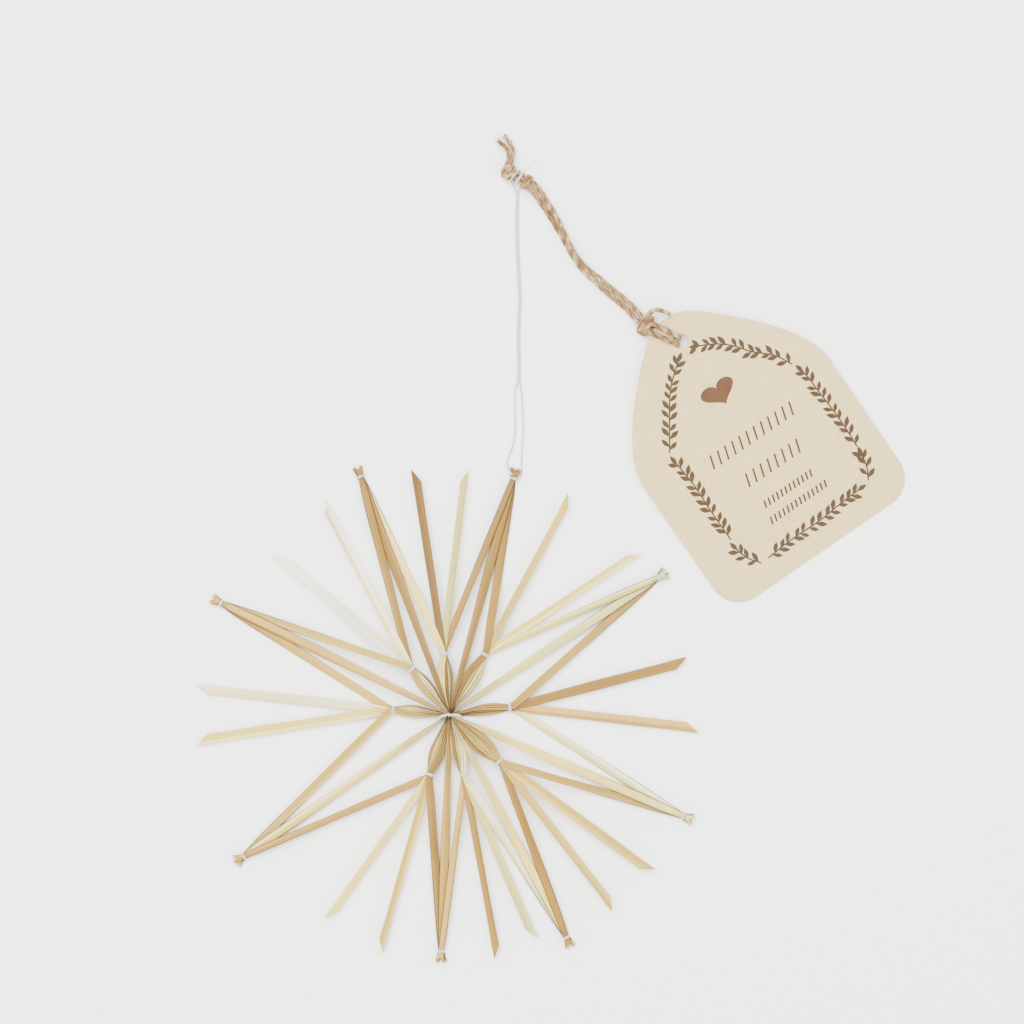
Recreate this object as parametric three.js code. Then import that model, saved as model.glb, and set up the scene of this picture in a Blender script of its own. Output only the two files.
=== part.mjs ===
// Straw star ornament with its hanging thread, jute twine and card tag, lying flat on a table.
// Millimetres and degrees. +Z is up, and the origin is under the middle of the star, on the table.
// Twenty flattened straws cross in the middle. Each one makes two rays. Four neighbouring rays
// make a bundle, which is tied once near the middle, so there are eight bundles. Past that tie a
// bundle opens again: its two inner rays are cut free and its two outer rays are tied to the
// straight ray between the bundles, which gives eight tied tips.
import * as THREE from "three";

const { degToRad, lerp, smoothstep } = THREE.MathUtils;

const starRadius = 75; // to the sharp points and to the tied tips
const tieRadius = 18.5; // to the inner ties

// Plan of the star, anticlockwise. A place is [angle, how much further out than its radius].
// tie: where the bundle is tied. spread: how far apart its straws bow before the tie.
// free: the sharp points of the two free rays. tip: the tied tip that follows the bundle.
const plan = [
  { tie: [6.7, -0.4], spread: 0.67, free: [[-3.2, -0.2], [12.5, -1.9]], tip: [33.3, -0.3] },
  { tie: [59.7, 2.3], spread: 1.1, free: [[40.7, 0], [61.1, 0.2]], tip: [75.0, -1.8] },
  { tie: [96.1, -0.1], spread: 0.9, free: [[86.4, -1.3], [98.1, -0.6]], tip: [110.6, 1.1] },
  { tie: [129.9, -0.7], spread: 0.8, free: [[120.8, -0.4], [137.3, -2.9]], tip: [154.1, 1.3] },
  { tie: [176.0, -1.4], spread: 0.67, free: [[174.2, 1.8], [186.0, 1.8]], tip: [214.6, 0.2] },
  { tie: [251.6, 0.5], spread: 0.95, free: [[239.2, -3.1], [253.5, -0.5]], tip: [267.9, -3.8] },
  { tie: [283.2, -0.2], spread: 0.9, free: [[281.1, -0.4], [290.6, -2.8]], tip: [297.6, 0.5] },
  { tie: [317.2, 1.8], spread: 1.45, free: [[310.3, 1.6], [322.0, 2.2]], tip: [336.4, 1.3] },
];

function outTo(radius, [angle, further]) {
  return [angle, radius + further];
}

const sectors = plan.map(({ tie, spread, free, tip }) => ({
  tie: outTo(tieRadius, tie),
  spread,
  free: free.map((point) => outTo(starRadius, point)),
  tip: outTo(starRadius, tip),
}));

// Flattened width of each straw, one row for each layer of the star. The first four straws of a
// layer make its bundles, clockwise to anticlockwise, and the fifth is the straight ray.
const layerWidths = [
  [2.6, 2.8, 2.9, 2.5, 2.8],
  [2.2, 2.15, 2.15, 2.6, 2.7],
  [2.1, 2.1, 2.4, 2.6, 2.6],
  [2.5, 2.4, 2.8, 2.3, 2.9],
];

// Straws
const coreWidth = 0.8; // folded narrow where all of them cross
const petalWidth = 2.1; // between the middle and the inner tie
const tieWidth = 1.95; // gathered in an inner tie
const tipWidth = 1.6; // gathered in a tip tie
const tailWidth = 2.8; // the cut ends that flare past a tip tie
const tailLength = 2.5;
const cutLength = 3.9; // a free end is cut aslant over this length
const corePitch = 0.32; // height that one straw takes where all of them cross
const tiePitch = 0.42; // and in a tie
const outerPitch = 0.64; // and where it lies open
const strawGap = 0.06; // air between two straws that lie on each other
const coreRadius = 8; // the crossing straws keep their own level up to here
const tieBend = 1.6; // from a tie to where its straws start to part
const gatherLength = 12; // from a tip tie back to where its straws lie loose
const tailFan = 1.8; // how far the cut ends turn out, against straight on
const openAfter = 7; // from an inner tie to where a straw is open
const levelReach = 17; // from an inner tie to where its straws lie side by side and come down
const tipZone = 34; // the longest stretch along which the straws of a tied tip lie on each other
const widestStraw = 3;

// Thread ties
const bandThickness = 0.3;
const bandClearance = 0.1;
const bandChamfer = 0.35;
const innerBandLength = 0.95;
const tipBandLength = 0.75;
const coreBandWidth = 0.42;
const coreBandFoot = 0.8; // half length of the middle tie's flat underside
const coreLegs = [[-12.5, 3.95], [199, 3.95]]; // where the middle tie goes down between the rays
const tableGap = 0.05; // between the table and what lies just above it
const tieStep = 1.3; // height from one layer's inner ties to the next

// The thread, the twine and the card hang from the top tip: their x and y are measured from it.
const topSector = 1;

// Hanging thread, in one piece: from the tip tie up the left strand, round the twine, and back
const threadDiameter = 0.5;
const threadHalfGap = 0.33; // the doubled thread's strands lie this far from its middle line
const threadLeft = [
  [-0.25, 0.9, 2.5], [-0.7, 1.7, 2.4], [-1.6, 3.2, 1.9], [-1.9, 4.7, 0.8], [-1.3, 6.6, 0.3],
  [-0.5, 8.6, 0.3], [0.2, 11.3, 0.3], [0.6, 14.1, 0.3], [0.5, 21.3, 0.3], [0.7, 26.9, 0.32],
];
const threadRight = [
  [1.5, -0.3, 1.0], [2.1, 0.5, 0.8], [2.6, 2.2, 0.4], [2.5, 5.1, 0.3], [2.7, 8.8, 0.3],
  [2.9, 12.5, 0.3], [3, 16.2, 0.3], [2.5, 25.5, 0.32],
];
const threadMiddle = [
  [1.65, 28.7, 0.64], [1.65, 29.9, 0.7], [1.7, 31.2, 0.64], [1.8, 33.8, 0.32],
  [1.6, 39.9, 0.3], [1.75, 48, 0.3], [2.05, 53.4, 0.3], [1.6, 62.4, 0.3],
  [1.25, 71.4, 0.3], [1.2, 79.8, 0.32], [1.3, 85.6, 0.5],
];
const threadKnot = { at: [1.65, 29.9], length: 1.2, clearance: 0.1 };

// Jute twine, doubled: a knot at each end, and two loops through the tag's hole
const twineDiameter = 1.7;
const twineHalfGap = 0.95; // each strand lies this far from the pair's middle line
const endKnot = { at: [1.2, 90.3, 2.55], angle: -30, neck: 1.3, lump: 2.45 };
const endKnotNeck = [-1.9, 2.2]; // the narrow neck between its two lumps, along its axis
const endKnotEnds = [-5.2, 4.5];
// The hanging thread goes one and a half times round that neck
const wrapClearance = 0.5;
const wrapPitch = 1.74;
const wrapAngles = [-20, 640];
const wrapStep = 44;
const wrapOffset = 40; // turn that the wraps start late, which puts them on the near half of the neck
const tagKnot = { at: [39.6, 46, 2.4], angle: 60, long: 3.6, across: 1.5, high: 2.3 };
// Middle line of the pair: x, y, how far it is rolled over, and how high its lower strand is lifted
const twineRoute = [
  [5.7, 87.5, 10, 1.1], [7.5, 85.4, 12, 0.6], [9.8, 81.9, 20, 0.1], [12, 78.4, 35, 0],
  [14, 74.7, 52, 0], [16.2, 70.5, 62, 0], [18.7, 66.1, 66, 0], [21.6, 62.5, 52, 0],
  [25.1, 59.5, 32, 0], [28.6, 56.4, 18, 0], [32.2, 53.5, 12, 0.1], [35.6, 50.5, 10, 0.5],
  [37.6, 48, 10, 1.1],
];
const endTailRoute = [[-1.1, 94.9, 2.7], [-0.7, 97.3, 2.2], [-1.6, 99.6, 1.9], [-3.4, 102.2, 1.7]];
const tagTailRoute = [[42.2, 50.2, 3.0], [43.8, 50.3, 3.4], [45.3, 49.9, 3.6], [46.8, 49.1, 3.6]];
const tailDiameters = { end: 2.6, tag: 1.5 };
const loopRoutes = [
  [
    [42.5, 45.9, 3.6], [43.8, 45.3, 3.85], [45.4, 44.6, 3.9], [47.1, 43.6, 3.85],
    [48.5, 42.7, 3.65], [49.75, 42.05, 2.3], [48.5, 42.7, 0.95], [46.6, 43.6, 0.92],
    [44.4, 44.7, 0.95], [42.6, 45.5, 0.95],
  ],
  [
    [41.2, 43.6, 3.6], [42.5, 43, 3.85], [44.4, 42.2, 3.9], [46.2, 41.4, 3.85],
    [47.8, 40.7, 3.65], [49.25, 40.35, 2.3], [47.8, 40.7, 0.95], [45.8, 41.4, 0.92],
    [43.5, 42.5, 0.95], [41.7, 43.4, 0.95],
  ],
];

// Card tag: its own frame has the hole at the origin and its top along +Y
const tag = { width: 67.5, thickness: 0.6, below: 75.9, above: 8.1, corner: 9, hole: 4.5 };
// Each side bends in from start, by way of the bend, to the end, and the crown rounds over the hole.
const tagShoulder = { start: -29.1, bend: [22, -6], end: [8.5, 5.2], crown: [6.5, 6.9, 3.6] };
const tagEdgeGap = 0.02; // between the table and the card's lower edge
const tagPlace = { at: [50.1, 41.1], angle: 34.5, lift: 1.95 };

const halfTurn = 180;
const layers = layerWidths.length;
const perLayer = layerWidths[0].length;
const bundled = perLayer - 1;
const middle = (bundled - 1) / 2;
const stackFoot = bandThickness + bandClearance;

function polar(angle, distance) {
  return new THREE.Vector2(distance, 0).rotateAround(new THREE.Vector2(), degToRad(angle));
}

function material(color, roughness) {
  return new THREE.MeshStandardMaterial({ color, roughness, metalness: 0 });
}

const finishes = {
  straw: material(0xd2b182, 0.5),
  paleStraw: material(0xe0d8b8, 0.5),
  thread: material(0xf4f3f0, 0.8),
  twine: material(0xc4a886, 0.95),
  card: material(0xe0d7c5, 0.85),
};

const ornament = new THREE.Group();
const hangingSet = new THREE.Group();
const topTip = polar(...sectors[topSector].tip);
hangingSet.position.set(topTip.x, topTip.y, 0);
ornament.add(hangingSet);

function addPart(name, geometry, finish, parent = ornament) {
  const mesh = new THREE.Mesh(geometry, finish);
  mesh.name = name;
  parent.add(mesh);
  return mesh;
}

// Straws. A station has a place, a width, a thickness and a slant for an end that is cut aslant.
const sectionFlat = 0.6; // share of the width that stays flat on top and below
const sides = 6;

function sweepStraw(stations) {
  const last = stations.length - 1;
  const geometry = new THREE.CylinderGeometry(1, 1, 1, sides, last);
  const position = geometry.getAttribute("position");
  const roof = Math.sin(Math.PI / 3);
  for (let i = 0; i < position.count; i++) {
    const row = Math.round((0.5 - position.getY(i)) * last);
    const { place, width, thickness, slant } = stations[row];
    const ahead = stations[Math.min(row + 1, last)].place;
    const behind = stations[Math.max(row - 1, 0)].place;
    const along = new THREE.Vector3(ahead.x - behind.x, ahead.y - behind.y, 0).normalize();
    const right = new THREE.Vector3(along.y, -along.x, 0);
    const edge = position.getZ(i);
    const across = Math.abs(edge) > sectionFlat ? edge : 2 * edge * sectionFlat;
    const up = (position.getX(i) / roof) * (thickness / 2);
    const at = place.clone().addScaledVector(right, (across * width) / 2);
    at.addScaledVector(along, across * slant);
    position.setXYZ(i, at.x, at.y, at.z + up);
  }
  return geometry;
}

// Height of the middle of a bundle or of one level where all the straws cross
function coreHeight(level) {
  return stackFoot + (level + 0.5) * corePitch;
}

// An inner tie holds four straws, and its ring stands on the table in the lowest layer.
function tieHeight(layer) {
  const ring = (bundled * tiePitch) / 2 + bandClearance + bandThickness;
  return ring + tableGap + layer * tieStep;
}

// The three straws that meet at a tied tip, lowest first
function tipOrder(sector) {
  const layer = sector % layers;
  const next = (sector + 1) % layers;
  const levels = [layer * perLayer + bundled - 1, layer * perLayer + bundled, next * perLayer];
  return [...levels].sort((a, b) => a - b);
}

function tipPitch(toTip) {
  return lerp(tiePitch, outerPitch, smoothstep(toTip, tipBandLength, gatherLength));
}

function tipHeight(sector, level, toTip) {
  return stackFoot + (tipOrder(sector).indexOf(level) + 0.5) * tipPitch(toTip);
}

// Direction in which a straw crosses the middle: the mean of its two rays
function crossing(angle, opposite) {
  return (angle + opposite + (opposite > angle ? -halfTurn : halfTurn)) / 2;
}

function station(plan, height, width, pitch, slant = 0) {
  const place = new THREE.Vector3(plan.x, plan.y, height);
  return { place, width, thickness: pitch - strawGap, slant };
}

// The last stretch of a straw to a tied tip, and its flared end past the tie
function tipStations(sector, level, from, width) {
  const [angle, distance] = sectors[sector].tip;
  const axis = polar(angle, 1);
  const tip = polar(angle, distance);
  const half = tipBandLength / 2 + bandClearance;
  const gate = tip.clone().addScaledVector(axis, -half);
  const heading = gate.clone().sub(from).normalize();
  const stations = [];
  const zone = Math.min(tipZone, widestStraw / Math.abs(axis.cross(heading)));
  const marks = [zone, gatherLength, 0.4 * gatherLength, tieBend];
  const widths = [width, width, lerp(tipWidth, width, 0.75), lerp(tipWidth, width, 0.35)];
  marks.forEach((toTip, i) => {
    const plan = gate.clone().addScaledVector(heading, half - toTip);
    stations.push(station(plan, tipHeight(sector, level, toTip), widths[i], tipPitch(toTip)));
  });
  for (const reach of [-half, half]) {
    const plan = tip.clone().addScaledVector(axis, reach);
    stations.push(station(plan, tipHeight(sector, level, 0), tipWidth, tiePitch));
  }
  const fan = heading.clone().multiplyScalar(tailFan).addScaledVector(axis, 1 - tailFan).normalize();
  const end = tip.clone().addScaledVector(axis, half).addScaledVector(fan, tailLength - half);
  const tailPitch = lerp(tiePitch, outerPitch, 0.35);
  const tailHeight = stackFoot + (tipOrder(sector).indexOf(level) + 0.5) * tailPitch;
  stations.push(station(end, tailHeight, tailWidth, tailPitch));
  return stations;
}

// One ray of a bundled straw, from near the middle outwards
function bundledRay(sector, order) {
  const { tie, spread, free } = sectors[sector];
  const [angle, distance] = tie;
  const layer = sector % layers;
  const level = layer * perLayer + order;
  const width = layerWidths[layer][order];
  const line = crossing(angle, sectors[(sector + layers) % sectors.length].tie[0]);
  const half = innerBandLength / 2 + bandClearance;
  const straight = distance - half;
  const settled = distance - tieBend;
  const tieLevel = tieHeight(layer) + (order - middle) * tiePitch;
  const stations = [];
  const marks = [0.5 * coreRadius, 0.94 * coreRadius, 0.62 * distance, 0.8 * distance, settled, straight];
  const widths = [coreWidth, lerp(coreWidth, petalWidth, 0.5), petalWidth, petalWidth];
  marks.forEach((r, i) => {
    const turn = lerp(line, angle, smoothstep(r, 0, coreRadius));
    const bow = spread * Math.sin(Math.PI * Math.min(r / straight, 1) ** 1.4);
    const side = polar(turn + halfTurn / 2, (order - middle) * bow);
    const settle = smoothstep(r, coreRadius, settled);
    const pitch = lerp(corePitch, tiePitch, settle);
    const height = lerp(coreHeight(level), tieLevel, settle);
    stations.push(station(polar(turn, r).add(side), height, widths[i] ?? tieWidth, pitch));
  });
  const gate = polar(angle, distance + half);
  stations.push(station(gate, tieLevel, tieWidth, tiePitch));
  const isFree = order > 0 && order < bundled - 1;
  const tipSector = order === 0 ? (sector + sectors.length - 1) % sectors.length : sector;
  const [aimAngle, aimDistance] = isFree ? free[order - 1] : sectors[tipSector].tip;
  const aim = polar(aimAngle, aimDistance);
  const run = aim.clone().sub(gate);
  const length = run.length();
  const outwards = run.clone().normalize();
  const near = gate.clone().addScaledVector(outwards, tieBend);
  stations.push(station(near, tieLevel, lerp(tieWidth, width, 0.1), tiePitch));
  const open = gate.clone().addScaledVector(outwards, openAfter);
  stations.push(station(open, tieLevel, lerp(tieWidth, width, 0.75), tiePitch));
  const apart = gate.clone().addScaledVector(outwards, levelReach);
  stations.push(station(apart, tieLevel, width, tiePitch));
  if (!isFree) return [...stations, ...tipStations(tipSector, level, gate, width)];
  const tipLevel = lerp(stackFoot + outerPitch, tieLevel, 0.35);
  const slant = (order === 1 ? cutLength : -cutLength) / 2;
  for (const [reach, cut] of [[length - cutLength - 1, 0], [length - cutLength / 2, slant]]) {
    const plan = gate.clone().addScaledVector(outwards, reach);
    stations.push(station(plan, tipLevel, width, outerPitch, cut));
  }
  return stations;
}

// One half of a straight straw, which runs between two bundles to their shared tied tip
function straightRay(sector) {
  const [angle, distance] = sectors[sector].tip;
  const layer = sector % layers;
  const level = layer * perLayer + bundled;
  const width = layerWidths[layer][bundled];
  const line = crossing(angle, sectors[(sector + layers) % sectors.length].tip[0]);
  const low = tipHeight(sector, level, tipZone);
  const stations = [];
  const widths = [coreWidth, lerp(coreWidth, width, 0.4), lerp(coreWidth, width, 0.6)];
  [0.5 * coreRadius, 1.1 * coreRadius, 1.75 * coreRadius].forEach((r, i) => {
    const plan = polar(lerp(line, angle, smoothstep(r, 0, coreRadius)), r);
    const drop = smoothstep(r, 1.1 * coreRadius, distance - tipZone);
    const height = lerp(coreHeight(level), low, drop);
    stations.push(station(plan, height, widths[i], lerp(corePitch, tiePitch, i / 2)));
  });
  return [...stations, ...tipStations(sector, level, new THREE.Vector2(), width)];
}

let strawNumber = 0;
for (let layer = 0; layer < layers; layer++) {
  for (let order = 0; order < perLayer; order++) {
    strawNumber += 1;
    const ray = (sector) => (order < bundled ? bundledRay(sector, order) : straightRay(sector));
    const height = coreHeight(layer * perLayer + order);
    const core = station(new THREE.Vector2(), height, coreWidth, corePitch);
    const stations = [...ray(layer + layers).reverse(), core, ...ray(layer)];
    const finish = order === bundled || layer === 0 ? finishes.paleStraw : finishes.straw;
    addPart("straw_" + String(strawNumber).padStart(2, "0"), sweepStraw(stations), finish);
  }
}

// Thread ties: a flat band of thread round a bundle. Its outline is a list of [across, up].
function bandOutline(halfWidth, halfHeight, chamfer) {
  const w = halfWidth;
  const h = halfHeight;
  const c = chamfer;
  return [
    [w, c - h], [w, h - c], [w - c, h], [c - w, h],
    [-w, h - c], [-w, c - h], [c - w, -h], [w - c, -h],
  ];
}

// Outward offset at each corner of a closed outline, so that the band keeps its thickness
function outwardOffsets(outline) {
  return outline.map((corner, i) => {
    const before = outline[(i + outline.length - 1) % outline.length];
    const after = outline[(i + 1) % outline.length];
    const first = new THREE.Vector2(corner[1] - before[1], before[0] - corner[0]).normalize();
    const second = new THREE.Vector2(after[1] - corner[1], corner[0] - after[0]).normalize();
    const sum = first.clone().add(second);
    return sum.multiplyScalar(2 / sum.lengthSq());
  });
}

// place turns a point of the outline and a step along the band's width into a point in space.
function closedBand(outline, width, place) {
  const offsets = outwardOffsets(outline);
  const count = outline.length;
  const corners = 4;
  const geometry = new THREE.TorusGeometry(1, 0.5, corners, count);
  const position = geometry.getAttribute("position");
  for (let j = 0; j <= corners; j++) {
    const outer = j % corners === 0 || j % corners === 3 ? 0.5 : -0.5;
    const side = j % corners < 2 ? 0.5 : -0.5;
    for (let i = 0; i <= count; i++) {
      const [across, up] = outline[i % count];
      const shift = offsets[i % count].clone().multiplyScalar(outer * bandThickness);
      const at = place(across + shift.x, up + shift.y, side * width);
      position.setXYZ(j * (count + 1) + i, at.x, at.y, at.z);
    }
  }
  return geometry;
}

function ringAt(centre, angle, height, halfWidth, halfHeight, length) {
  const reach = bandClearance + bandThickness / 2;
  const outline = bandOutline(halfWidth + reach, halfHeight + reach, bandChamfer);
  const along = polar(angle, 1);
  const across = polar(angle + halfTurn / 2, 1);
  return closedBand(outline, length, (q, up, side) => {
    const plan = centre.clone().addScaledVector(across, q).addScaledVector(along, side);
    return new THREE.Vector3(plan.x, plan.y, height + up);
  });
}

sectors.forEach(({ tie, tip }, i) => {
  const bundleHalf = (bundled * tiePitch) / 2;
  const centre = polar(...tie);
  const height = tieHeight(i % layers);
  const ring = ringAt(centre, tie[0], height, tieWidth / 2, bundleHalf, innerBandLength);
  addPart("inner_tie_" + (i + 1), ring, finishes.thread);
  const tipHalf = (3 * tiePitch) / 2;
  const end = polar(...tip);
  const tipRing = ringAt(end, tip[0], stackFoot + tipHalf, tipWidth / 2, tipHalf, tipBandLength);
  addPart("tip_tie_" + (i + 1), tipRing, finishes.thread);
});

// The middle tie goes over and under all the straws and passes between the rays on both sides.
// Its flat underside is what the star stands on.
function middleTie() {
  const bottom = bandThickness / 2;
  const top = stackFoot + layers * perLayer * corePitch + bandClearance + bandThickness / 2;
  const c = bandChamfer + bandThickness / 2;
  const flat = coreBandFoot;
  const right = coreLegs[0][1];
  const left = -coreLegs[1][1];
  const outline = [
    [right, bottom + c], [right, top - c], [right - c, top], [flat, top], [-flat, top],
    [left + c, top], [left, top - c], [left, bottom + c], [left + c, bottom],
    [-flat, bottom], [flat, bottom], [right - c, bottom],
  ];
  return closedBand(outline, coreBandWidth, (q, up, side) => {
    const [angle] = q > 0 ? coreLegs[0] : coreLegs[1];
    const plan = polar(angle, Math.abs(q));
    const sideways = polar((q > 0 ? angle : angle - halfTurn) - halfTurn / 2, side);
    return new THREE.Vector3(plan.x + sideways.x, plan.y + sideways.y, up);
  });
}
addPart("middle_tie", middleTie(), finishes.thread);

// Cords
const cordSides = 8;

function cord(points, diameter, steps) {
  const section = new THREE.Shape();
  section.absarc(0, 0, diameter / 2, 0, 2 * Math.PI);
  const path = new THREE.CatmullRomCurve3(points.map((p) => new THREE.Vector3(...p)));
  const options = { steps, extrudePath: path, curveSegments: cordSides / 2, bevelEnabled: false };
  return new THREE.ExtrudeGeometry(section, options);
}

// The thread goes up over the neck of the twine's end knot, round it, and over it once more.
function threadWrap() {
  const [x, y, z] = endKnot.at;
  const along = polar(endKnot.angle, 1);
  const away = polar(endKnot.angle + halfTurn / 2, 1);
  const [first, last] = wrapAngles;
  const between = (first + last) / 2 - wrapOffset;
  const wrapRadius = endKnot.neck + threadDiameter / 2 + wrapClearance;
  const points = [];
  for (let turn = first; turn <= last; turn += wrapStep) {
    const angle = degToRad(turn);
    const shift = ((turn - between) / 360) * wrapPitch;
    const out = -Math.cos(angle) * wrapRadius;
    const plan = along.clone().multiplyScalar(shift).addScaledVector(away, out);
    points.push([x + plan.x, y + plan.y, z + Math.sin(angle) * wrapRadius]);
  }
  return points;
}

function threadPath() {
  const up = threadMiddle.map(([x, y, z]) => [x - threadHalfGap, y, z]);
  const down = threadMiddle.map(([x, y, z]) => [x + threadHalfGap, y, z]).reverse();
  return [...threadLeft, ...up, ...threadWrap(), ...down, ...[...threadRight].reverse()];
}
addPart("hanging_thread", cord(threadPath(), threadDiameter, 76), finishes.thread, hangingSet);

const knotRing = ringAt(
  new THREE.Vector2(...threadKnot.at), halfTurn / 2, threadMiddle[1][2],
  threadHalfGap + threadDiameter / 2 + threadKnot.clearance, threadDiameter / 2, threadKnot.length,
);
addPart("thread_knot", knotRing, finishes.thread, hangingSet);

// The twine's two strands lie side by side, and one climbs on the other half way.
function twineStrand(side) {
  return twineRoute.map(([x, y, roll, lift], i) => {
    const ahead = twineRoute[Math.min(i + 1, twineRoute.length - 1)];
    const behind = twineRoute[Math.max(i - 1, 0)];
    const heading = new THREE.Vector2(ahead[0] - behind[0], ahead[1] - behind[1]).normalize();
    const out = side * twineHalfGap * Math.cos(degToRad(roll));
    const climb = twineHalfGap * Math.sin(degToRad(roll)) * (1 + side);
    const foot = twineDiameter / 2 + tableGap + lift;
    return [x - heading.y * out, y + heading.x * out, foot + climb];
  });
}
addPart("twine_strand_1", cord(twineStrand(1), twineDiameter, 16), finishes.twine, hangingSet);
addPart("twine_strand_2", cord(twineStrand(-1), twineDiameter, 16), finishes.twine, hangingSet);
addPart("twine_end_tail", cord(endTailRoute, tailDiameters.end, 5), finishes.twine, hangingSet);
addPart("twine_tag_tail", cord(tagTailRoute, tailDiameters.tag, 5), finishes.twine, hangingSet);
loopRoutes.forEach((route, i) => {
  addPart("tag_loop_" + (i + 1), cord(route, twineDiameter, 14), finishes.twine, hangingSet);
});

// The end knot is two lumps of twine with a neck between them.
function endKnotShape() {
  const { neck, lump } = endKnot;
  const [start, end] = endKnotEnds;
  const [neckStart, neckEnd] = endKnotNeck;
  const profile = [
    [0, start], [0.66 * lump, start + 0.35], [lump, start + 1.3], [lump, neckStart - 0.9],
    [neck, neckStart], [neck, neckEnd], [0.85 * lump, neckEnd + 0.5], [0.88 * lump, end - 0.9],
    [0.5 * lump, end - 0.1], [0, end],
  ];
  const points = profile.map(([radius, along]) => new THREE.Vector2(radius, along));
  return new THREE.LatheGeometry(points, 10);
}
const endKnotMesh = addPart("twine_end_knot", endKnotShape(), finishes.twine, hangingSet);
endKnotMesh.position.set(...endKnot.at);
endKnotMesh.rotation.z = degToRad(endKnot.angle - halfTurn / 2);

const tagKnotShape = new THREE.SphereGeometry(1, 10, 8);
const tagKnotMesh = addPart("twine_tag_knot", tagKnotShape, finishes.twine, hangingSet);
tagKnotMesh.position.set(...tagKnot.at);
tagKnotMesh.scale.set(tagKnot.long, tagKnot.across, tagKnot.high);
tagKnotMesh.rotation.z = degToRad(tagKnot.angle);

// Card tag, with its top lifted by the twine that passes under it
function tagShape() {
  const half = tag.width / 2;
  const r = tag.corner;
  const { start, bend, end, crown } = tagShoulder;
  const [crownX, crownY, crownTop] = crown;
  const shape = new THREE.Shape();
  shape.moveTo(-half + r, -tag.below);
  shape.absarc(half - r, -tag.below + r, r, -Math.PI / 2, 0);
  shape.lineTo(half, start);
  shape.bezierCurveTo(half, start + r, ...bend, ...end);
  shape.bezierCurveTo(crownX, crownY, crownTop, tag.above, 0, tag.above);
  shape.bezierCurveTo(-crownTop, tag.above, -crownX, crownY, -end[0], end[1]);
  shape.bezierCurveTo(-bend[0], bend[1], -half, start + r, -half, start);
  shape.lineTo(-half, -tag.below + r);
  shape.absarc(-half + r, -tag.below + r, r, Math.PI, 1.5 * Math.PI);
  const hole = new THREE.Path();
  hole.absarc(0, 0, tag.hole / 2, 0, 2 * Math.PI, true);
  shape.holes.push(hole);
  return shape;
}

const tagGroup = new THREE.Group();
tagGroup.position.set(...tagPlace.at, tagPlace.lift);
tagGroup.rotation.z = degToRad(tagPlace.angle);
hangingSet.add(tagGroup);
const tagOptions = { depth: tag.thickness, bevelEnabled: false, curveSegments: 7 };
const tagBody = new THREE.ExtrudeGeometry(tagShape(), tagOptions);
const tagMesh = addPart("tag", tagBody, finishes.card, tagGroup);
tagMesh.rotation.x = Math.asin((tagPlace.lift - tagEdgeGap) / tag.below);

export default ornament;
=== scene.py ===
"""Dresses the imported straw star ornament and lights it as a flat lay.

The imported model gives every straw, tie, cord and the card its place. This script builds the finished
surface of each one: hollow flattened straws with pleats and cut ends, thread wound into ties, two-ply
twine with loose fibres, and a printed card. Lengths are metres unless a name ends in _mm. Angles in
fields are degrees.
"""

import logging
import math
import random
from collections.abc import Callable, Sequence
from dataclasses import dataclass, field
from enum import Enum
from statistics import median

import bmesh
import bpy
from mathutils import Matrix, Vector
from mathutils.geometry import delaunay_2d_cdt


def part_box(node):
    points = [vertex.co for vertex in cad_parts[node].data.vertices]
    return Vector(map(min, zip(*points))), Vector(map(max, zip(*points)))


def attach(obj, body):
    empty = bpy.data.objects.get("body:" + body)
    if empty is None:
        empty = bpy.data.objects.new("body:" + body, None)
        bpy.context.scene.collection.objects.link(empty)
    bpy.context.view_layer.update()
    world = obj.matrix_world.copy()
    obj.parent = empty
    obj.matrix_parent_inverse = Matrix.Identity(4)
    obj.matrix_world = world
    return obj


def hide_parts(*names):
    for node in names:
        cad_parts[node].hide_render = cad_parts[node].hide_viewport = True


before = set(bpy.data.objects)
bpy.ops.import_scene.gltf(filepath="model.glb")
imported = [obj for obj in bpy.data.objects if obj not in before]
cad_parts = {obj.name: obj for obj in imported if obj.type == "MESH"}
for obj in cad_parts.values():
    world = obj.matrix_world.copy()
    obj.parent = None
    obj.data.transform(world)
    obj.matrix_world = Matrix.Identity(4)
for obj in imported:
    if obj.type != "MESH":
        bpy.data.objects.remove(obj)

logging.basicConfig(level=logging.INFO, format="%(name)s: %(message)s")
log = logging.getLogger("straw_star")

MM = 0.001
BODY = "root"
SEED = 24
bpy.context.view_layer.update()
STRAWS_IN_LAYER = 5
FIRST_LAYER_ANGLE = 5
LAYER_TURN = 45
LEVEL_SIDEWAYS = Vector((1, 0, 0))
LEVEL_AHEAD = Vector((0, 1, 0))
UP = Vector((0, 0, 1))


# Small helpers


def to_linear(code: str) -> tuple[float, float, float, float]:
    """Turns an sRGB hex colour into linear light.

    Args:
        code: six hex digits.

    Returns:
        Linear red, green and blue, and an alpha of 1.
    """
    values = [int(code[i:i + 2], 16) / 255 for i in (0, 2, 4)]
    linear = [v / 12.92 if v <= 0.04045 else ((v + 0.055) / 1.055) ** 2.4 for v in values]
    return linear[0], linear[1], linear[2], 1.0


def smooth(value: float) -> float:
    """Returns the smooth step of a value that is held between 0 and 1."""
    t = min(max(value, 0.0), 1.0)
    return t * t * (3 - 2 * t)


def mix(a: float, b: float, t: float) -> float:
    """Returns the value a share t of the way from a to b."""
    return a + (b - a) * t


def waves(reach: float, sizes: Sequence[tuple[float, float]], phases: Sequence[float]) -> float:
    """Adds up slow waves along a straw.

    Args:
        reach: the distance along the straw.
        sizes: for each wave, its length over two pi and its height.
        phases: for each wave, where it starts.

    Returns:
        The sum of the waves at that distance.
    """
    return sum(height * math.sin(reach / run + start) for (run, height), start in zip(sizes, phases))


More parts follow.
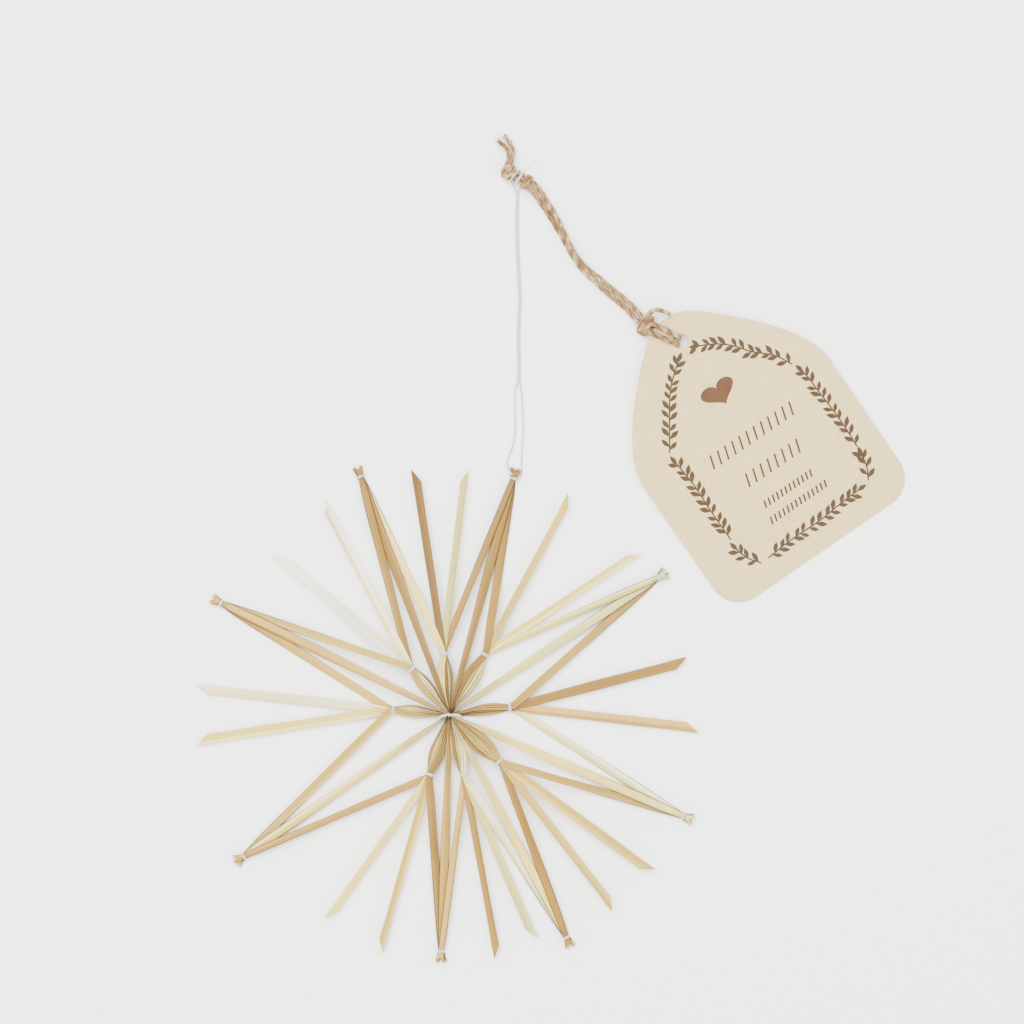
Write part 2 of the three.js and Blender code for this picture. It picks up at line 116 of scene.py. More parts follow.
def level_direction(degrees: float) -> Vector:
    """Returns the direction at an angle from the row frame's X, level with the table."""
    return Vector((math.cos(math.radians(degrees)), math.sin(math.radians(degrees)), 0.0))


def left_of(along: Vector) -> Vector:
    """Returns the level direction a quarter turn to the left of another."""
    return Vector((-along.y, along.x, 0.0))


def even_points(points: Sequence[Vector], step: float) -> list[Vector]:
    """Spaces points evenly along a line of points.

    Args:
        points: the line.
        step: the wanted distance between two points.

    Returns:
        The evenly spaced points, both ends included.
    """
    lengths = [0.0]
    for a, b in zip(points, points[1:]):
        lengths.append(lengths[-1] + (b - a).length)
    count = max(2, round(lengths[-1] / step))
    result: list[Vector] = []
    at = 0
    for i in range(count + 1):
        goal = lengths[-1] * i / count
        while at < len(lengths) - 2 and lengths[at + 1] < goal:
            at += 1
        span = max(lengths[at + 1] - lengths[at], 1e-12)
        result.append(points[at].lerp(points[at + 1], (goal - lengths[at]) / span))
    return result


def curve_points(route: Sequence[Sequence[float]], step: float) -> list[Vector]:
    """Runs a smooth centripetal curve through the points of a route.

    Args:
        route: the points to pass through.
        step: the distance between the points of the result.

    Returns:
        Points at even distances along the curve, both ends included.
    """
    line = [Vector(p) for p in route]
    line = [2 * line[0] - line[1], *line, 2 * line[-1] - line[-2]]
    fine: list[Vector] = []
    for before, start, end, after in zip(line, line[1:], line[2:], line[3:]):
        marks = [0.0]
        for a, b in ((before, start), (start, end), (end, after)):
            marks.append(marks[-1] + max((b - a).length, 1e-9) ** 0.5)
        m0, m1, m2, m3 = marks
        count = max(4, int((end - start).length / step * 3))
        for i in range(count):
            t = mix(m1, m2, i / count)
            a1 = before.lerp(start, (t - m0) / (m1 - m0))
            a2 = start.lerp(end, (t - m1) / (m2 - m1))
            a3 = end.lerp(after, (t - m2) / (m3 - m2))
            b1 = a1.lerp(a2, (t - m0) / (m2 - m0))
            b2 = a2.lerp(a3, (t - m1) / (m3 - m1))
            fine.append(b1.lerp(b2, (t - m1) / (m2 - m1)))
    fine.append(line[-2])
    return even_points(fine, step)


def line_length(points: Sequence[Vector]) -> float:
    """Returns the length of a line of points."""
    return sum((b - a).length for a, b in zip(points, points[1:]))


def lay_grid(
    shape: bmesh.types.BMesh,
    across: int,
    along: int,
    size_mm: tuple[float, float],
    place: Callable[[bmesh.types.BMVert, int, int], None],
) -> list[bmesh.types.BMVert]:
    """Adds a grid and lays it in space, such as round a strand.

    Args:
        shape: the bmesh that the grid is added to.
        across: number of faces from side to side.
        along: number of faces from end to end.
        size_mm: what the UV map covers from side to side and from end to end.
        place: lays a grid point, from its numbers across and along.

    Returns:
        The grid's vertices.
    """
    uv_layer = shape.loops.layers.uv.verify()
    made = bmesh.ops.create_grid(shape, x_segments=across, y_segments=along, size=0.5, calc_uvs=True)
    for vert in made["verts"]:
        column = round((vert.co.x + 0.5) * across)
        row = round((vert.co.y + 0.5) * along)
        place(vert, column, row)
    for face in {f for v in made["verts"] for f in v.link_faces}:
        for loop in face.loops:
            u, v = loop[uv_layer].uv
            loop[uv_layer].uv = (u * size_mm[0], v * size_mm[1])
    return made["verts"]


def finish_shape(shape: bmesh.types.BMesh) -> None:
    """Merges doubled points and turns every face outwards."""
    bmesh.ops.remove_doubles(shape, verts=shape.verts[:], dist=2e-7)
    bmesh.ops.dissolve_degenerate(shape, edges=shape.edges[:], dist=1e-8)
    bmesh.ops.recalc_face_normals(shape, faces=shape.faces[:])


def to_object(shape: bmesh.types.BMesh, name: str, *finishes: bpy.types.Material) -> bpy.types.Object:
    """Turns a bmesh into an object that rides on the ornament.

    Args:
        shape: the finished shape, in the row frame.
        name: the piece's name.
        finishes: the materials, in the order of the faces' material numbers.

    Returns:
        The new object, shaded smooth.
    """
    mesh = bpy.data.meshes.new(name)
    shape.to_mesh(mesh)
    shape.free()
    for finish in finishes:
        mesh.materials.append(finish)
    mesh.shade_smooth()
    obj = bpy.data.objects.new(name, mesh)
    bpy.context.scene.collection.objects.link(obj)
    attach(obj, BODY)
    return obj


def stand_for(
    shape: bmesh.types.BMesh, name: str, node: str, finish: bpy.types.Material,
) -> bpy.types.Object:
    """Closes a shape and makes it the piece that stands for a CAD node.

    Args:
        shape: the shape, in the row frame.
        name: the piece's name.
        node: the CAD node's name.
        finish: the material.

    Returns:
        The finished piece.
    """
    finish_shape(shape)
    piece = to_object(shape, name, finish)
    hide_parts(node)
    return piece


def add_node(
    tree: bpy.types.NodeTree,
    kind: str,
    inputs: dict[str | int, object] | None = None,
    **settings: object,
) -> bpy.types.Node:
    """Adds a shader node.

    Args:
        tree: the material's node tree.
        kind: the node's type name.
        inputs: for each input socket, a value or the output socket that feeds it.
        settings: the node's own settings.

    Returns:
        The new node.
    """
    node = tree.nodes.new(kind)
    for key, value in settings.items():
        setattr(node, key, value)
    for socket, value in (inputs or {}).items():
        if isinstance(value, bpy.types.NodeSocket):
            tree.links.new(value, node.inputs[socket])
        else:
            node.inputs[socket].default_value = value
    return node


def blank_material(name: str) -> tuple[bpy.types.Material, bpy.types.NodeTree]:
    """Makes a material with an empty node tree.

    Args:
        name: the material's name.

    Returns:
        The material and its node tree.
    """
    material = bpy.data.materials.new(name)
    material.use_nodes = True
    material.node_tree.nodes.clear()
    return material, material.node_tree


def close_material(tree: bpy.types.NodeTree, shader: bpy.types.Node) -> None:
    """Joins a shader to the material's output."""
    add_node(tree, "ShaderNodeOutputMaterial", {"Surface": shader.outputs["BSDF"]})


# Finishes


@dataclass(frozen=True)
class StrawFinish:
    """Split rye straw, soaked and pressed flat: a waxy skin over lengthwise fibres, with painted shade in
    its folds.
    """

    name: str = "pressed_straw"
    # The colour of the painted shade: in the folds, along the edges between straws, in the middle of the
    # star and in the cut ends' hollows.
    fold: str = "2C180A"
    bleach: str = "FFF0B8"
    blemish: str = "64481E"
    light_grain: str = "FFFFFF"
    dark_grain: str = "CFC4B4"
    # Each pattern's size across and along the straw. Real fibres are finer, but wouldn't show.
    fibre_mm: tuple[float, float] = (0.14, 8.333)
    vein_mm: tuple[float, float] = (0.55, 28.57)
    spot_mm: tuple[float, float] = (2.0, 11.11)
    fibre_depth_mm: float = 0.05
    roughness: float = 0.5

    def build(self) -> bpy.types.Material:
        """Makes the material. The piece's own tone attribute, with the painted light and shade across each
        straw, and its painted_shade attribute colour it.
        """
        material, tree = blank_material(self.name)
        # The tone attribute holds each straw's own colour, with painted light and shade from its lit side
        # to its shaded side.
        tone = add_node(tree, "ShaderNodeAttribute", attribute_name="tone")
        painted_shade = add_node(tree, "ShaderNodeAttribute", attribute_name="painted_shade")
        place = add_node(tree, "ShaderNodeUVMap", uv_map="UVMap")
        patterns = []
        for (across, along), detail, rough in (
            (self.fibre_mm, 3.0, 0.6), (self.vein_mm, 2.0, 0.5), (self.spot_mm, 4.0, 0.62),
        ):
            lay = add_node(tree, "ShaderNodeMapping", {
                "Vector": place.outputs["UV"], "Scale": (1 / across, 1 / along, 1.0)})
            patterns.append(add_node(tree, "ShaderNodeTexNoise", {
                "Vector": lay.outputs["Vector"], "Scale": 1.0, "Detail": detail, "Roughness": rough}))
        fibre, vein, spot = patterns
        pale = add_node(tree, "ShaderNodeMapRange", {
            "Value": vein.outputs["Fac"], "From Min": 0.5, "From Max": 0.78, "To Max": 0.4})
        lighter = add_node(tree, "ShaderNodeMix", {
            0: pale.outputs["Result"], 6: tone.outputs["Color"], 7: to_linear(self.bleach)},
            data_type="RGBA")
        brown = add_node(tree, "ShaderNodeMapRange", {
            "Value": spot.outputs["Fac"], "From Min": 0.6, "From Max": 0.82, "To Max": 0.45})
        spotted = add_node(tree, "ShaderNodeMix", {
            0: brown.outputs["Result"], 6: lighter.outputs[2], 7: to_linear(self.blemish)},
            data_type="RGBA")
        grain = add_node(tree, "ShaderNodeValToRGB", {"Fac": fibre.outputs["Fac"]})
        grain.color_ramp.elements[0].position = 0.3
        grain.color_ramp.elements[0].color = to_linear(self.dark_grain)
        grain.color_ramp.elements[1].position = 0.66
        grain.color_ramp.elements[1].color = to_linear(self.light_grain)
        grained = add_node(tree, "ShaderNodeMix", {
            0: 0.75, 6: spotted.outputs[2], 7: grain.outputs["Color"]},
            data_type="RGBA", blend_type="MULTIPLY")
        # Painted shade: the fold colour darkens the straw where its painted_shade attribute is high.
        folded = add_node(tree, "ShaderNodeMix", {
            0: painted_shade.outputs["Fac"], 6: grained.outputs[2], 7: to_linear(self.fold)},
            data_type="RGBA")
        rough = add_node(tree, "ShaderNodeMapRange", {
            "Value": fibre.outputs["Fac"], "From Min": 0.3, "From Max": 0.7,
            "To Min": self.roughness - 0.06, "To Max": self.roughness + 0.12})
        bump = add_node(tree, "ShaderNodeBump", {
            "Height": fibre.outputs["Fac"], "Strength": 0.55, "Distance": self.fibre_depth_mm * MM})
        shader = add_node(tree, "ShaderNodeBsdfPrincipled", {
            "Base Color": folded.outputs[2], "Roughness": rough.outputs["Result"],
            "Normal": bump.outputs["Normal"], "Specular IOR Level": 0.28})
        close_material(tree, shader)
        return material


@dataclass(frozen=True)
class ThreadFinish:
    """Bleached cotton sewing thread: soft, matt and twisted, so fine slanting lines run round it."""

    name: str = "cotton_thread"
    light: str = "FAF9F6"
    shade: str = "BDB8B4"
    # The real twist is a little finer. It is drawn as coarse as it needs to show.
    twist_mm: float = 0.5
    depth_mm: float = 0.04
    roughness: float = 0.75

    def build(self) -> bpy.types.Material:
        """Makes the material, with its twist laid along the strand's UV map."""
        material, tree = blank_material(self.name)
        place = add_node(tree, "ShaderNodeUVMap", uv_map="UVMap")
        lay = add_node(tree, "ShaderNodeMapping", {
            "Vector": place.outputs["UV"], "Scale": (0.8, 1 / self.twist_mm, 1.0)})
        twist = add_node(tree, "ShaderNodeTexWave", {
            "Vector": lay.outputs["Vector"], "Scale": 0.32, "Distortion": 1.2, "Detail": 1.0},
            bands_direction="DIAGONAL")
        tint = add_node(tree, "ShaderNodeMix", {
            0: twist.outputs["Fac"], 6: to_linear(self.shade), 7: to_linear(self.light)},
            data_type="RGBA")
        bump = add_node(tree, "ShaderNodeBump", {
            "Height": twist.outputs["Fac"], "Strength": 0.5, "Distance": self.depth_mm * MM})
        shader = add_node(tree, "ShaderNodeBsdfPrincipled", {
            "Base Color": tint.outputs[2], "Roughness": self.roughness, "Normal": bump.outputs["Normal"],
            "Sheen Weight": 0.25, "Sheen Roughness": 0.5, "Specular IOR Level": 0.3})
        close_material(tree, shader)
        return material


@dataclass(frozen=True)
class JuteFinish:
    """Two-ply jute twine: dry, coarse plant fibres that run with the plies, pale tan and olive brown."""

    name: str = "jute_twine"
    light: str = "D0B07A"
    base: str = "86663E"
    dark: str = "3A2C18"
    warm: str = "70401E"
    pale: str = "C8BC94"
    # The fibres are bundled, and drawn as coarse as they need to show.
    fibre_mm: float = 0.2
    fibre_slant: float = 20.05
    fibre_depth_mm: float = 0.12
    patch_mm: float = 2.381
    roughness: float = 0.92

    def build(self) -> bpy.types.Material:
        """Makes the material, with fibres laid along the strand's UV map."""
        material, tree = blank_material(self.name)
        place = add_node(tree, "ShaderNodeUVMap", uv_map="UVMap")
        lay = add_node(tree, "ShaderNodeMapping", {
            "Vector": place.outputs["UV"], "Rotation": (0.0, 0.0, math.radians(self.fibre_slant)),
            "Scale": (1 / self.fibre_mm, 0.35, 1.0)})
        fibre = add_node(tree, "ShaderNodeTexNoise", {
            "Vector": lay.outputs["Vector"], "Scale": 1.0, "Detail": 4.0, "Roughness": 0.65})
        ramp = add_node(tree, "ShaderNodeValToRGB", {"Fac": fibre.outputs["Fac"]})
        ramp.color_ramp.elements[0].position = 0.32
        ramp.color_ramp.elements[0].color = to_linear(self.dark)
        ramp.color_ramp.elements[1].position = 0.7
        ramp.color_ramp.elements[1].color = to_linear(self.light)
        middle = ramp.color_ramp.elements.new(0.47)
        middle.color = to_linear(self.base)
        where = add_node(tree, "ShaderNodeTexCoord")
        drift = add_node(tree, "ShaderNodeTexNoise", {
            "Vector": where.outputs["Object"], "Scale": 1 / (self.patch_mm * MM), "Detail": 3.0})
        warmth = add_node(tree, "ShaderNodeMapRange", {
            "Value": drift.outputs["Fac"], "From Min": 0.5, "From Max": 0.66, "To Max": 0.75})
        tint = add_node(tree, "ShaderNodeMix", {
            0: warmth.outputs["Result"], 6: ramp.outputs["Color"], 7: to_linear(self.warm)},
            data_type="RGBA")
        # Painted shade: the grooves between the plies are darkened.
        painted_shade = add_node(tree, "ShaderNodeAttribute", attribute_name="painted_shade")
        depth = add_node(tree, "ShaderNodeMapRange", {
            "Value": painted_shade.outputs["Fac"], "From Min": 0.25, "From Max": 0.85, "To Max": 0.8})
        patches = add_node(tree, "ShaderNodeMapRange", {
            "Value": drift.outputs["Fac"], "From Min": 0.48, "From Max": 0.36, "To Max": 0.55})
        bleached = add_node(tree, "ShaderNodeMix", {
            0: patches.outputs["Result"], 6: tint.outputs[2], 7: to_linear(self.pale)},
            data_type="RGBA")
        grooved = add_node(tree, "ShaderNodeMix", {
            0: depth.outputs["Result"], 6: bleached.outputs[2], 7: to_linear(self.dark)},
            data_type="RGBA")
        bump = add_node(tree, "ShaderNodeBump", {
            "Height": fibre.outputs["Fac"], "Strength": 0.8, "Distance": self.fibre_depth_mm * MM})
        shader = add_node(tree, "ShaderNodeBsdfPrincipled", {
            "Base Color": grooved.outputs[2], "Roughness": self.roughness, "Normal": bump.outputs["Normal"],
            "Sheen Weight": 0.08, "Sheen Roughness": 0.6, "Specular IOR Level": 0.12})
        close_material(tree, shader)
        return material


@dataclass(frozen=True)
class CardFinish:
    """Uncoated recycled card: matt, with a faint mottle and short fibres pressed into its face."""

    name: str
    tone: str
    mottle: str
    mottle_mm: float = 3.0
    fibre_mm: float = 0.35
    roughness: float = 0.88
    depth_mm: float = 0.02

    def build(self) -> bpy.types.Material:
        """Makes the material, with its mottle in the ornament's own space."""
        material, tree = blank_material(self.name)
        where = add_node(tree, "ShaderNodeTexCoord")
        cloud = add_node(tree, "ShaderNodeTexNoise", {
            "Vector": where.outputs["Object"], "Scale": 1 / (self.mottle_mm * MM), "Detail": 5.0,
            "Roughness": 0.6})
        fibre = add_node(tree, "ShaderNodeTexNoise", {
            "Vector": where.outputs["Object"], "Scale": 1 / (self.fibre_mm * MM), "Detail": 2.0})
        share = add_node(tree, "ShaderNodeMapRange", {
            "Value": cloud.outputs["Fac"], "From Min": 0.35, "From Max": 0.75})
        tint = add_node(tree, "ShaderNodeMix", {
            0: share.outputs["Result"], 6: to_linear(self.tone), 7: to_linear(self.mottle)},
            data_type="RGBA")
        bump = add_node(tree, "ShaderNodeBump", {
            "Height": fibre.outputs["Fac"], "Strength": 0.5, "Distance": self.depth_mm * MM})
        shader = add_node(tree, "ShaderNodeBsdfPrincipled", {
            "Base Color": tint.outputs[2], "Roughness": self.roughness, "Normal": bump.outputs["Normal"],
            "Specular IOR Level": 0.12})
        close_material(tree, shader)
        return material


# Straws


class StrawTone(Enum):
    """The straws' base colours, deeper than they look, because the light and the view lighten them."""

    GOLDEN = "745210"
    HONEY = "8E6C24"
    TAN = "A8863A"
    ROSY = "BC9646"
    WHEAT = "C4A650"
    CREAM = "E4CE7A"
    GREENISH = "CCC47C"
    SAGE = "B6AC6A"
    BLEACHED = "EEE0B0"
    WHITE = "F6EFD2"


def tones_of_rays() -> list[tuple[StrawTone, StrawTone]]:
    """Gives each straw's tones, in the order of the straws' numbers.

    Returns:
        For each straw, the tone of its ray from the far side and of its near ray.
    """
    t = StrawTone
    return [
        (t.ROSY, t.BLEACHED), (t.BLEACHED, t.ROSY), (t.CREAM, t.HONEY), (t.WHEAT, t.TAN),
        (t.CREAM, t.GREENISH), (t.TAN, t.GREENISH), (t.CREAM, t.CREAM), (t.WHEAT, t.WHEAT),
        (t.HONEY, t.HONEY), (t.TAN, t.HONEY), (t.ROSY, t.HONEY), (t.HONEY, t.SAGE),
        (t.GREENISH, t.GOLDEN), (t.BLEACHED, t.CREAM), (t.CREAM, t.HONEY), (t.HONEY, t.HONEY),
        (t.WHEAT, t.BLEACHED), (t.WHEAT, t.WHITE), (t.TAN, t.WHEAT), (t.CREAM, t.ROSY),
    ]


@dataclass
class Ring:
    """One cross-section of a flattened straw."""

    centre: Vector
    right: Vector
    half_height: float
    reach: float = 0.0


@dataclass
class Row:
    """One row of a straw's skin: a ring, and the shares of its width and height. Full ones are 1."""

    ring: Ring
    width: float
    height: float


@dataclass
class Straw:
    """One hollow flattened straw, which crosses the middle and makes two rays."""

    number: int
    tones: tuple[StrawTone, StrawTone]
    sides: int = 48
    step: float = 0.95 * MM
    wall: float = 0.12 * MM
    pocket: float = 2.2 * MM
    # The cross-section: how round it is across and up, where 1 is an ellipse and less is squarer, and how
    # deep its pleats are, loose and folded.
    roundness: tuple[float, float] = (0.8, 0.55)
    pleats: int = 3
    pleat_depth: tuple[float, float] = (0.05, 0.6)
    # Where the straws cross they nest: how far out, how softly that ends and how far it folds them.
    nest: float = 15 * MM
    nest_fade: float = 6 * MM
    nest_fold: float = 0.65
    # A tied end is notched to a depth, which fades over the tail. Near the tie the straws lie pressed
    # together, and their edges get painted shade for further.
    notch: float = 1.4 * MM
    notch_level: float = 0.45
    tail: float = 1.8 * MM
    pressed: float = 38 * MM
    # How long the change from one ray's tone to the other's takes.
    tone_change: float = 6 * MM
    # Slow waves of the edge, the lightness, the two sides' contrast and the warmth.
    edge_waves: tuple[tuple[float, float], ...] = ((9 * MM, 0.03), (4 * MM, 0.02))
    light_waves: tuple[tuple[float, float], ...] = ((21 * MM, 0.08), (8 * MM, 0.05))
    contrast_wave: float = 30 * MM
    warmth_wave: float = 17 * MM
    # How the lightness, the green and the blue change from the lit side to the shaded one.
    lit_to_shaded: tuple[tuple[float, float], ...] = ((1.12, 0.8), (1.03, 0.98), (1.2, 0.62))
    # The painted shade along the edges, where the straws lie loose and where they are pressed: its
    # strength, where it starts and how softly.
    edge_shade: tuple[float, float] = (0.2, 1.0)
    edge_start: tuple[float, float] = (0.84, 0.66)
    edge_fade: float = 0.22
    # How dark the painted shade in the middle of the star is, how far that reaches, and how dark the
    # painted shade in the hollow of a straw is.
    core_shade: float = 0.45
    core: float = 10 * MM
    hollow_shade: float = 0.6

    @property
    def node(self) -> str:
        """The CAD node that this straw stands for."""
        return f"straw_{self.number:02d}"

    def cad_rings(self) -> list[Ring]:
        """Reads the cross-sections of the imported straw, from its far end to its near end."""
        copy = bmesh.new()
        copy.from_mesh(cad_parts[self.node].data)
        bmesh.ops.remove_doubles(copy, verts=copy.verts[:], dist=0.002 * MM)
        caps = [v for v in copy.verts if self.is_cap_middle(v)]
        seen = {caps[0]}
        level = [caps[0]]
        rings: list[Ring] = []
        while level:
            level = list({e.other_vert(v) for v in level for e in v.link_edges} - seen)
            seen.update(level)
            if len(level) == 6:
                rings.append(self.ring_of([v.co.copy() for v in level]))
        copy.free()
        towards = FIRST_LAYER_ANGLE + LAYER_TURN * ((self.number - 1) // STRAWS_IN_LAYER)
        if rings[-1].centre.dot(level_direction(towards)) < 0:
            rings.reverse()
        for before, ring, after in zip([rings[0], *rings], rings, [*rings[1:], rings[-1]]):
            along = after.centre - before.centre
            if Vector((along.y, -along.x, 0)).dot(ring.right) < 0:
                ring.right.negate()
        return rings

    @staticmethod
    def is_cap_middle(vert: bmesh.types.BMVert) -> bool:
        """Tells whether a vertex is the middle of a straw's flat end."""
        normals = [f.normal for f in vert.link_faces]
        return len(normals) == 6 and all(n.dot(normals[0]) > 0.9999 for n in normals)

    @staticmethod
    def ring_of(corners: list[Vector]) -> Ring:
        """Makes a ring from the six corners of a packed straw's cross-section."""
        centre = sum(corners, Vector()) / len(corners)
        right = max(corners, key=lambda c: (c - centre).xy.length) - centre
        right.z = 0.0
        high = max(c.z for c in corners)
        low = min(c.z for c in corners)
        return Ring(centre, right, (high - low) / 2)

    def fine_rings(self) -> list[Ring]:
        """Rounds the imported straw's bends and gives cross-sections at even distances."""
        coarse = self.cad_rings()
        for before, ring in zip(coarse, coarse[1:]):
            ring.reach = before.reach + (ring.centre - before.centre).length
        count = round(coarse[-1].reach / self.step)
        fine: list[Ring] = []
        at = 0
        for i in range(count + 1):
            reach = coarse[-1].reach * i / count
            while at < len(coarse) - 2 and coarse[at + 1].reach < reach:
                at += 1
            a, b = coarse[at], coarse[at + 1]
            t = (reach - a.reach) / (b.reach - a.reach)
            fine.append(Ring(a.centre.lerp(b.centre, t), a.right.lerp(b.right, t),
                             mix(a.half_height, b.half_height, t), reach))
        return self.relaxed(fine)

    def relaxed(self, rings: list[Ring]) -> list[Ring]:
        """Softens the corners of a line of rings, with its ends held."""
        for _ in range(2):
            for before, ring, after in zip(rings, rings[1:], rings[2:]):
                ring.centre = ring.centre.lerp((before.centre + after.centre) / 2, 0.5)
                width = mix(ring.right.length, (before.right.length + after.right.length) / 2, 0.5)
                ring.right = ring.right.lerp((before.right + after.right) / 2, 0.5).normalized() * width
        return rings

    def outline(self, column: int, gather: float) -> tuple[float, float, float]:
        """Gives a point of the cross-section.

        Args:
            column: the point's number round the straw.
            gather: how far the straw is folded narrow, from 0 to 1.

        Returns:
            Its share of the half width and of the half height, and how deep it lies in a fold.
        """
        angle = 2 * math.pi * column / self.sides
        across = math.copysign(abs(math.cos(angle)) ** self.roundness[0], math.cos(angle))
        up = math.copysign(abs(math.sin(angle)) ** self.roundness[1], math.sin(angle))
        wave = 0.5 + 0.5 * math.cos(math.pi * self.pleats * across + 0.9 * self.number)
        fold = wave * (1 - across ** 4)
        return across, up * (1 - mix(*self.pleat_depth, gather) * fold), fold

    def rows(self, rings: list[Ring]) -> list[Row]:
        """Adds the cut ends: a rim as thick as the straw's wall, and a hollow that closes further in.

        Args:
            rings: the cross-sections from end to end.

        Returns:
            The rows of the skin, from the bottom of one hollow to the bottom of the other.
        """
        inset = max(1, round(self.pocket / self.step))
        rows = [Row(ring, 1.0, 1.0) for ring in rings]
        for at, step in ((0, 1), (len(rings) - 1, -1)):
            end = rings[at]
            width = 1 - self.wall / end.right.length
            height = max(0.25, 1 - self.wall / end.half_height)
            hollow = [Row(end, width, height)]
            for i in range(1, inset + 1):
                ring = rings[at + i * step]
                hollow.append(Row(ring, width * 0.97, height * (1 - i / inset)))
            rows = [*reversed(hollow), *rows] if step > 0 else [*rows, *hollow]
        return rows

    def fishtails(self, rings: list[Ring], full: float) -> list[tuple[float, Vector]]:
        """Finds the tied ends, whose cut is notched like a fish's tail.

        Args:
            rings: the cross-sections from end to end.
            full: half the width of the straw where it lies loose.

        Returns:
            For each tied end, how far along the straw it lies, and its outward direction.
        """
        found = []
        for ends in (rings[:4], rings[:-5:-1]):
            if min(r.right.length for r in ends) < 0.9 * full:
                found.append((ends[0].reach, (ends[0].centre - ends[1].centre).normalized()))
        return found

    def build(self, finish: bpy.types.Material) -> bpy.types.Object:
        """Builds the straw and lets it stand for its CAD node.

        Args:
            finish: the straw material.

        Returns:
            The finished piece.
        """
        chance = random.Random(SEED * 100 + self.number)
        phases = [chance.uniform(0, 2 * math.pi) for _ in range(5)]
        lit_side = chance.choice((-1, 1))
        fold_line = chance.uniform(-0.45, 0.45)
        rings = self.fine_rings()
        middle = min(rings, key=lambda r: r.centre.xy.length).reach
        full = median(r.right.length for r in rings)
        tails = self.fishtails(rings, full)
        rows = self.rows(rings)
        far, near = (to_linear(tone.value) for tone in self.tones)
        shape = bmesh.new()
        painted_shade = shape.verts.layers.float.new("painted_shade")
        tone = shape.verts.layers.float_color.new("tone")

        def place(vert: bmesh.types.BMVert, column: int, number: int) -> None:
            """Lays one point of the skin and gives it its tone, with painted light and shade across the
            straw, and its painted shade.
            """
            row = rows[number]
            ring = row.ring
            nest = smooth(1 - (abs(ring.reach - middle) - self.nest) / self.nest_fade)
            gather = max(self.nest_fold * nest, smooth(2.2 * (1 - ring.right.length / full)))
            across, up, fold = self.outline(column, gather)
            width = row.width * (1 + waves(ring.reach, self.edge_waves, phases[:2]) * (1 - gather))
            vert.co = ring.centre + ring.right * (across * width)
            vert.co.z += ring.half_height * up * row.height
            press = gather
            for end, outward in tails:
                far_in = abs(ring.reach - end)
                near_end = smooth(1 - far_in / self.tail)
                vert.co += outward * (self.notch * (abs(across) - self.notch_level) * near_end)
                press = max(press, 0.9 * smooth(1.3 - far_in / self.pressed)) * (1 - 0.65 * near_end)
            side = smooth(0.5 + (ring.reach - middle) / self.tone_change)
            drift = 1 + waves(ring.reach, self.light_waves, phases[2:4])
            shade = smooth(0.5 + (across * lit_side - fold_line) / 0.3)
            shade = mix(0.5, shade, 0.55 + 0.45 * math.sin(ring.reach / self.contrast_wave + phases[4]))
            light, green, blue = (mix(lit, shaded, shade) for lit, shaded in self.lit_to_shaded)
            light *= drift
            hue = math.sin(ring.reach / self.warmth_wave + 2 * phases[2])
            warm = (1.0, green + 0.02 * hue, blue + 0.12 * hue)
            # The tone: the straw's own colour, with painted light and shade from its lit side to its shaded
            # side.
            vert[tone] = (*(mix(a, b, side) * light * w for a, b, w in zip(far[:3], near[:3], warm)), 1.0)
            # Painted shade: along the edges where straws lie together, in the pleats' folds, in the middle
            # of the star and in the cut ends' hollows.
            edge = smooth((abs(across) - mix(*self.edge_start, press)) / self.edge_fade)
            edge *= mix(*self.edge_shade, press)
            core = self.core_shade * smooth(1 - abs(ring.reach - middle) / self.core)
            inner = self.hollow_shade if row.height < 1 else 0.0
            line = fold ** 4 * (2 * gather)
            vert[painted_shade] = min(1.0, line + edge + core * (0.3 + fold) + inner)

        size_mm = (4.2 * full / MM, rings[-1].reach / MM)
        lay_grid(shape, self.sides, len(rows) - 1, size_mm, place)
        return stand_for(shape, f"{self.node}_skin", self.node, finish)


# Strands


@dataclass
class Section:
    """The cross-section of a strand, whose plies turn about each other along it."""

    radius: float
    sides: int = 12
    plies: int = 1
    ply_depth: float = 0.0
    turn: float = 5 * MM

    def groove(self, angle: float, along: float) -> float:
        """Tells how deep a place lies between two plies, from 0 to 1."""
        if self.plies < 2:
            return 0.0
        return 1 - abs(math.cos((angle - 2 * math.pi * along / self.turn) * self.plies / 2)) ** 0.7

    def reach(self, angle: float, along: float) -> float:
        """Returns the radius at an angle, after a distance along the strand."""
        return self.radius * (1 - self.ply_depth * self.groove(angle, along))


